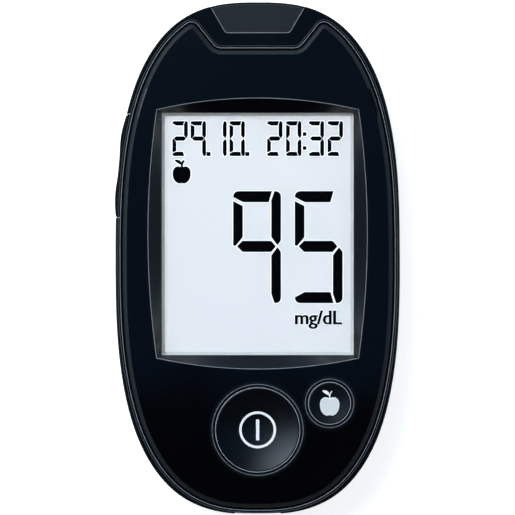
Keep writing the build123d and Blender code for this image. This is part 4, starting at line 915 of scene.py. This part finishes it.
lay_marks()
unit_text("unit_border", UNIT_BORDER_WEIGHT, UNIT_BORDER, 0.0, BORDER_WHITE, 0)
unit_text("unit_mark_left", UNIT_WEIGHT, -UNIT_STRIKE, -UNIT_STRIKE, SEGMENT_INK, 1)
unit_text("unit_mark_right", UNIT_WEIGHT, -UNIT_STRIKE, UNIT_STRIKE, SEGMENT_INK, 1.5)


# ---- Symbols on the buttons -----------------------------------------------------------------
RING_OUTSIDE, RING_INSIDE = 3.70, 3.20
BAR_HALF_WIDTH, BAR_HALF_HEIGHT = 0.32, 2.09
BAR_CORNER = 0.1
CAP_MEAL = (0.02, -0.56, 3.98, 3.80, 0.022)   # offset on the cap, width, height, weight
CAP_MEAL_RIM = 0.07
PRINT = 0.02                # thickness of a printed symbol
PRINT_CLEARANCE = 0.004     # a print starts this far above its cap


def dished(place, cap_radius, top):
    """Height of a hollow cap over a place, a little above its surface."""
    reach = cap_radius - DISH_RIM
    floor = top - (DISH_RADIUS - math.sqrt(DISH_RADIUS**2 - reach**2))

    def height(x, y):
        away = (x - place[0]) ** 2 + (y - place[1]) ** 2
        return floor + DISH_RADIUS - math.sqrt(DISH_RADIUS**2 - away) + PRINT_CLEARANCE

    return height


def power_symbol():
    """Ring and bar on the large cap."""
    x, y = POWER
    surface = dished(POWER, POWER_CAP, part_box("power_button")[1].z / MM)
    circles = [ring(x, y, RING_OUTSIDE), ring(x, y, RING_INSIDE)]
    laid("power_ring", circles, SYMBOL_WHITE, "power", surface, PRINT)
    left, right = x - BAR_HALF_WIDTH, x + BAR_HALF_WIDTH
    low, high = y - BAR_HALF_HEIGHT, y + BAR_HALF_HEIGHT
    bar = rounded([(left, low), (right, low), (right, high), (left, high)], [BAR_CORNER] * 4)
    laid("power_bar", [bar], SYMBOL_WHITE, "power", surface, PRINT)


def marker_symbol():
    """Meal mark on the small cap, pale inside a thin white outline. Each part of it has a
    thickness of its own, so that no two tops lie level where they cross."""
    (x, y), (right, up, *size) = MARKER, CAP_MEAL
    surface = dished(MARKER, MARKER_CAP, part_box("marker_button")[1].z / MM)
    fruit, stalk, leaf = [cleaned(mark) for mark in meal_mark(x + right, y + up, *size)]
    for name, outline, material, thickness in (
        ("fruit_outline", grown(fruit, CAP_MEAL_RIM), SYMBOL_WHITE, PRINT - 0.005),
        ("fruit", fruit, SYMBOL_PALE, PRINT + 0.002),
        ("stalk", grown(stalk, 0.02), SYMBOL_WHITE, PRINT - 0.002),
        ("leaf", grown(leaf, 0.02), SYMBOL_WHITE, PRINT),
    ):
        laid("marker_" + name, [outline], material, "marker", surface, thickness)


power_symbol()
marker_symbol()


# ---- Floor, light and camera ----------------------------------------------------------------
def pale_floor():
    """White sweep under the meter that still shows its shadow; clear from below."""
    material, tree, output = new_material("floor_white")
    matt = tree.nodes.new("ShaderNodeBsdfDiffuse")
    shade = tint(tree, spread(tree, noise(tree, 3.0), 0, 1), (0.80, 0.80, 0.80), (0.82, 0.82, 0.82))
    tree.links.new(shade, matt.inputs["Color"])
    light = tree.nodes.new("ShaderNodeEmission")
    light.inputs["Strength"].default_value = FLOOR_GLOW
    both = tree.nodes.new("ShaderNodeAddShader")
    tree.links.new(matt.outputs["BSDF"], both.inputs[0])
    tree.links.new(light.outputs["Emission"], both.inputs[1])
    ray = tree.nodes.new("ShaderNodeLightPath")
    seen = ray.outputs["Is Camera Ray"]
    for kind in ("Is Glossy Ray", "Is Transmission Ray"):
        seen = calculated(tree, "MAXIMUM", seen, ray.outputs[kind])
    mix = tree.nodes.new("ShaderNodeMixShader")
    tree.links.new(seen, mix.inputs["Fac"])
    tree.links.new(matt.outputs["BSDF"], mix.inputs[1])
    tree.links.new(both.outputs["Shader"], mix.inputs[2])
    under = tree.nodes.new("ShaderNodeMixShader")
    sides = tree.nodes.new("ShaderNodeNewGeometry")
    clear = tree.nodes.new("ShaderNodeBsdfTransparent")
    tree.links.new(sides.outputs["Backfacing"], under.inputs["Fac"])
    tree.links.new(mix.outputs["Shader"], under.inputs[1])
    tree.links.new(clear.outputs["BSDF"], under.inputs[2])
    tree.links.new(under.outputs["Shader"], output.inputs["Surface"])
    mesh = bpy.data.meshes.new("floor")
    corners = [Vector((x, y, 0)) * FLOOR_REACH for x, y in ((-1, -1), (1, -1), (1, 1), (-1, 1))]
    mesh.from_pydata(corners, [], [(0, 1, 2, 3)])
    mesh.materials.append(material)
    floor = bpy.data.objects.new("floor", mesh)
    floor.location.z = FLOOR_LEVEL
    bpy.context.scene.collection.objects.link(floor)


def studio_world():
    """Room round the meter: white at the horizon, a soft blue band that fades out towards the
    near end, a dim ceiling and one bright window high on the far left."""
    world = bpy.data.worlds.new("studio")
    bpy.context.scene.world = world
    world.use_nodes = True
    tree = world.node_tree
    tree.nodes.clear()
    direction = tree.nodes.new("ShaderNodeTexCoord").outputs["Generated"]
    split = tree.nodes.new("ShaderNodeSeparateXYZ")
    tree.links.new(direction, split.inputs["Vector"])
    along, up = split.outputs["Y"], split.outputs["Z"]
    towards = tree.nodes.new("ShaderNodeVectorMath")
    towards.operation = "DOT_PRODUCT"
    towards.inputs[1].default_value = Vector(WORLD_WINDOW_TOWARDS).normalized()
    tree.links.new(direction, towards.inputs[0])

    horizon = spread(tree, up, 1, 0, 0.06, 0.28, smooth=True)
    band_height = spread(tree, up, 0.62, 0.0, 0.25, 0.85)
    band = calculated(tree, "MULTIPLY", band_height, spread(tree, along, 0, 1, -0.75, 0.5))
    overhead = spread(tree, up, 0, 1, 0.90, 0.98)
    ceiling = calculated(tree, "MULTIPLY", spread(tree, along, 0.095, 0.12, -0.05, 0.10), overhead)
    ceiling_edge = spread(tree, along, 0, 1, -0.078, -0.058, smooth=True)
    ceiling = calculated(tree, "MULTIPLY", ceiling_edge, ceiling)
    apart = calculated(tree, "ARCCOSINE", towards.outputs["Value"])
    window = spread(tree, apart, WORLD_WINDOW_STRENGTH, 0, 0.0, WORLD_WINDOW_SPREAD)

    total = None
    for strength, colour in (
        (horizon, (1.0, 1.0, 1.0)), (band, (0.68, 1.0, 1.36)), (ceiling, (0.32, 0.86, 1.80)),
        (window, (0.84, 1.0, 1.18)),
    ):
        light = tree.nodes.new("ShaderNodeBackground")
        light.inputs["Color"].default_value = (*colour, 1)
        tree.links.new(strength, light.inputs["Strength"])
        shader = light.outputs["Background"]
        if total:
            joined = tree.nodes.new("ShaderNodeAddShader")
            tree.links.new(total, joined.inputs[0])
            tree.links.new(shader, joined.inputs[1])
            shader = joined.outputs["Shader"]
        total = shader
    backdrop = tree.nodes.new("ShaderNodeBackground")
    backdrop.inputs["Color"].default_value = (1, 1, 1, 1)
    mix = tree.nodes.new("ShaderNodeMixShader")
    ray = tree.nodes.new("ShaderNodeLightPath")
    tree.links.new(ray.outputs["Is Camera Ray"], mix.inputs["Fac"])
    tree.links.new(total, mix.inputs[1])
    tree.links.new(backdrop.outputs["Background"], mix.inputs[2])
    output = tree.nodes.new("ShaderNodeOutputWorld")
    tree.links.new(mix.outputs["Shader"], output.inputs["Surface"])


def softbox(name, place, width, height, power):
    """Rectangular lamp that faces the meter."""
    data = bpy.data.lights.new(name, "AREA")
    data.shape = "RECTANGLE"
    data.size, data.size_y = width, height
    data.energy = power
    lamp = bpy.data.objects.new(name, data)
    lamp.location = place
    lamp.visible_glossy = False
    aim = Vector((0, 0, 0.01)) - Vector(place)
    lamp.rotation_euler = aim.to_track_quat("-Z", "Y").to_euler()
    bpy.context.scene.collection.objects.link(lamp)


def overhead_camera():
    """Camera straight above the display, far off, so that the view has hardly any perspective."""
    data = bpy.data.cameras.new("camera")
    data.lens = CAMERA_LENS
    data.sensor_width = CAMERA_SENSOR
    data.clip_start, data.clip_end = 0.1, 50.0
    across = FRAME_PIXELS / PIXELS_PER_MM * MM
    distance = across * data.lens / data.sensor_width
    camera = bpy.data.objects.new("camera", data)
    camera.location = Vector(CAMERA_AIM) + Vector((0, 0, distance))
    bpy.context.scene.collection.objects.link(camera)
    bpy.context.scene.camera = camera


overhead_camera()
pale_floor()
studio_world()
softbox("key_light", (-0.25, 0.30, 0.85), 0.45, 0.45, 4.1)
softbox("fill_light", (0.45, -0.30, 0.75), 0.6, 0.6, 1.1)

bpy.context.scene.view_settings.view_transform = "Standard"
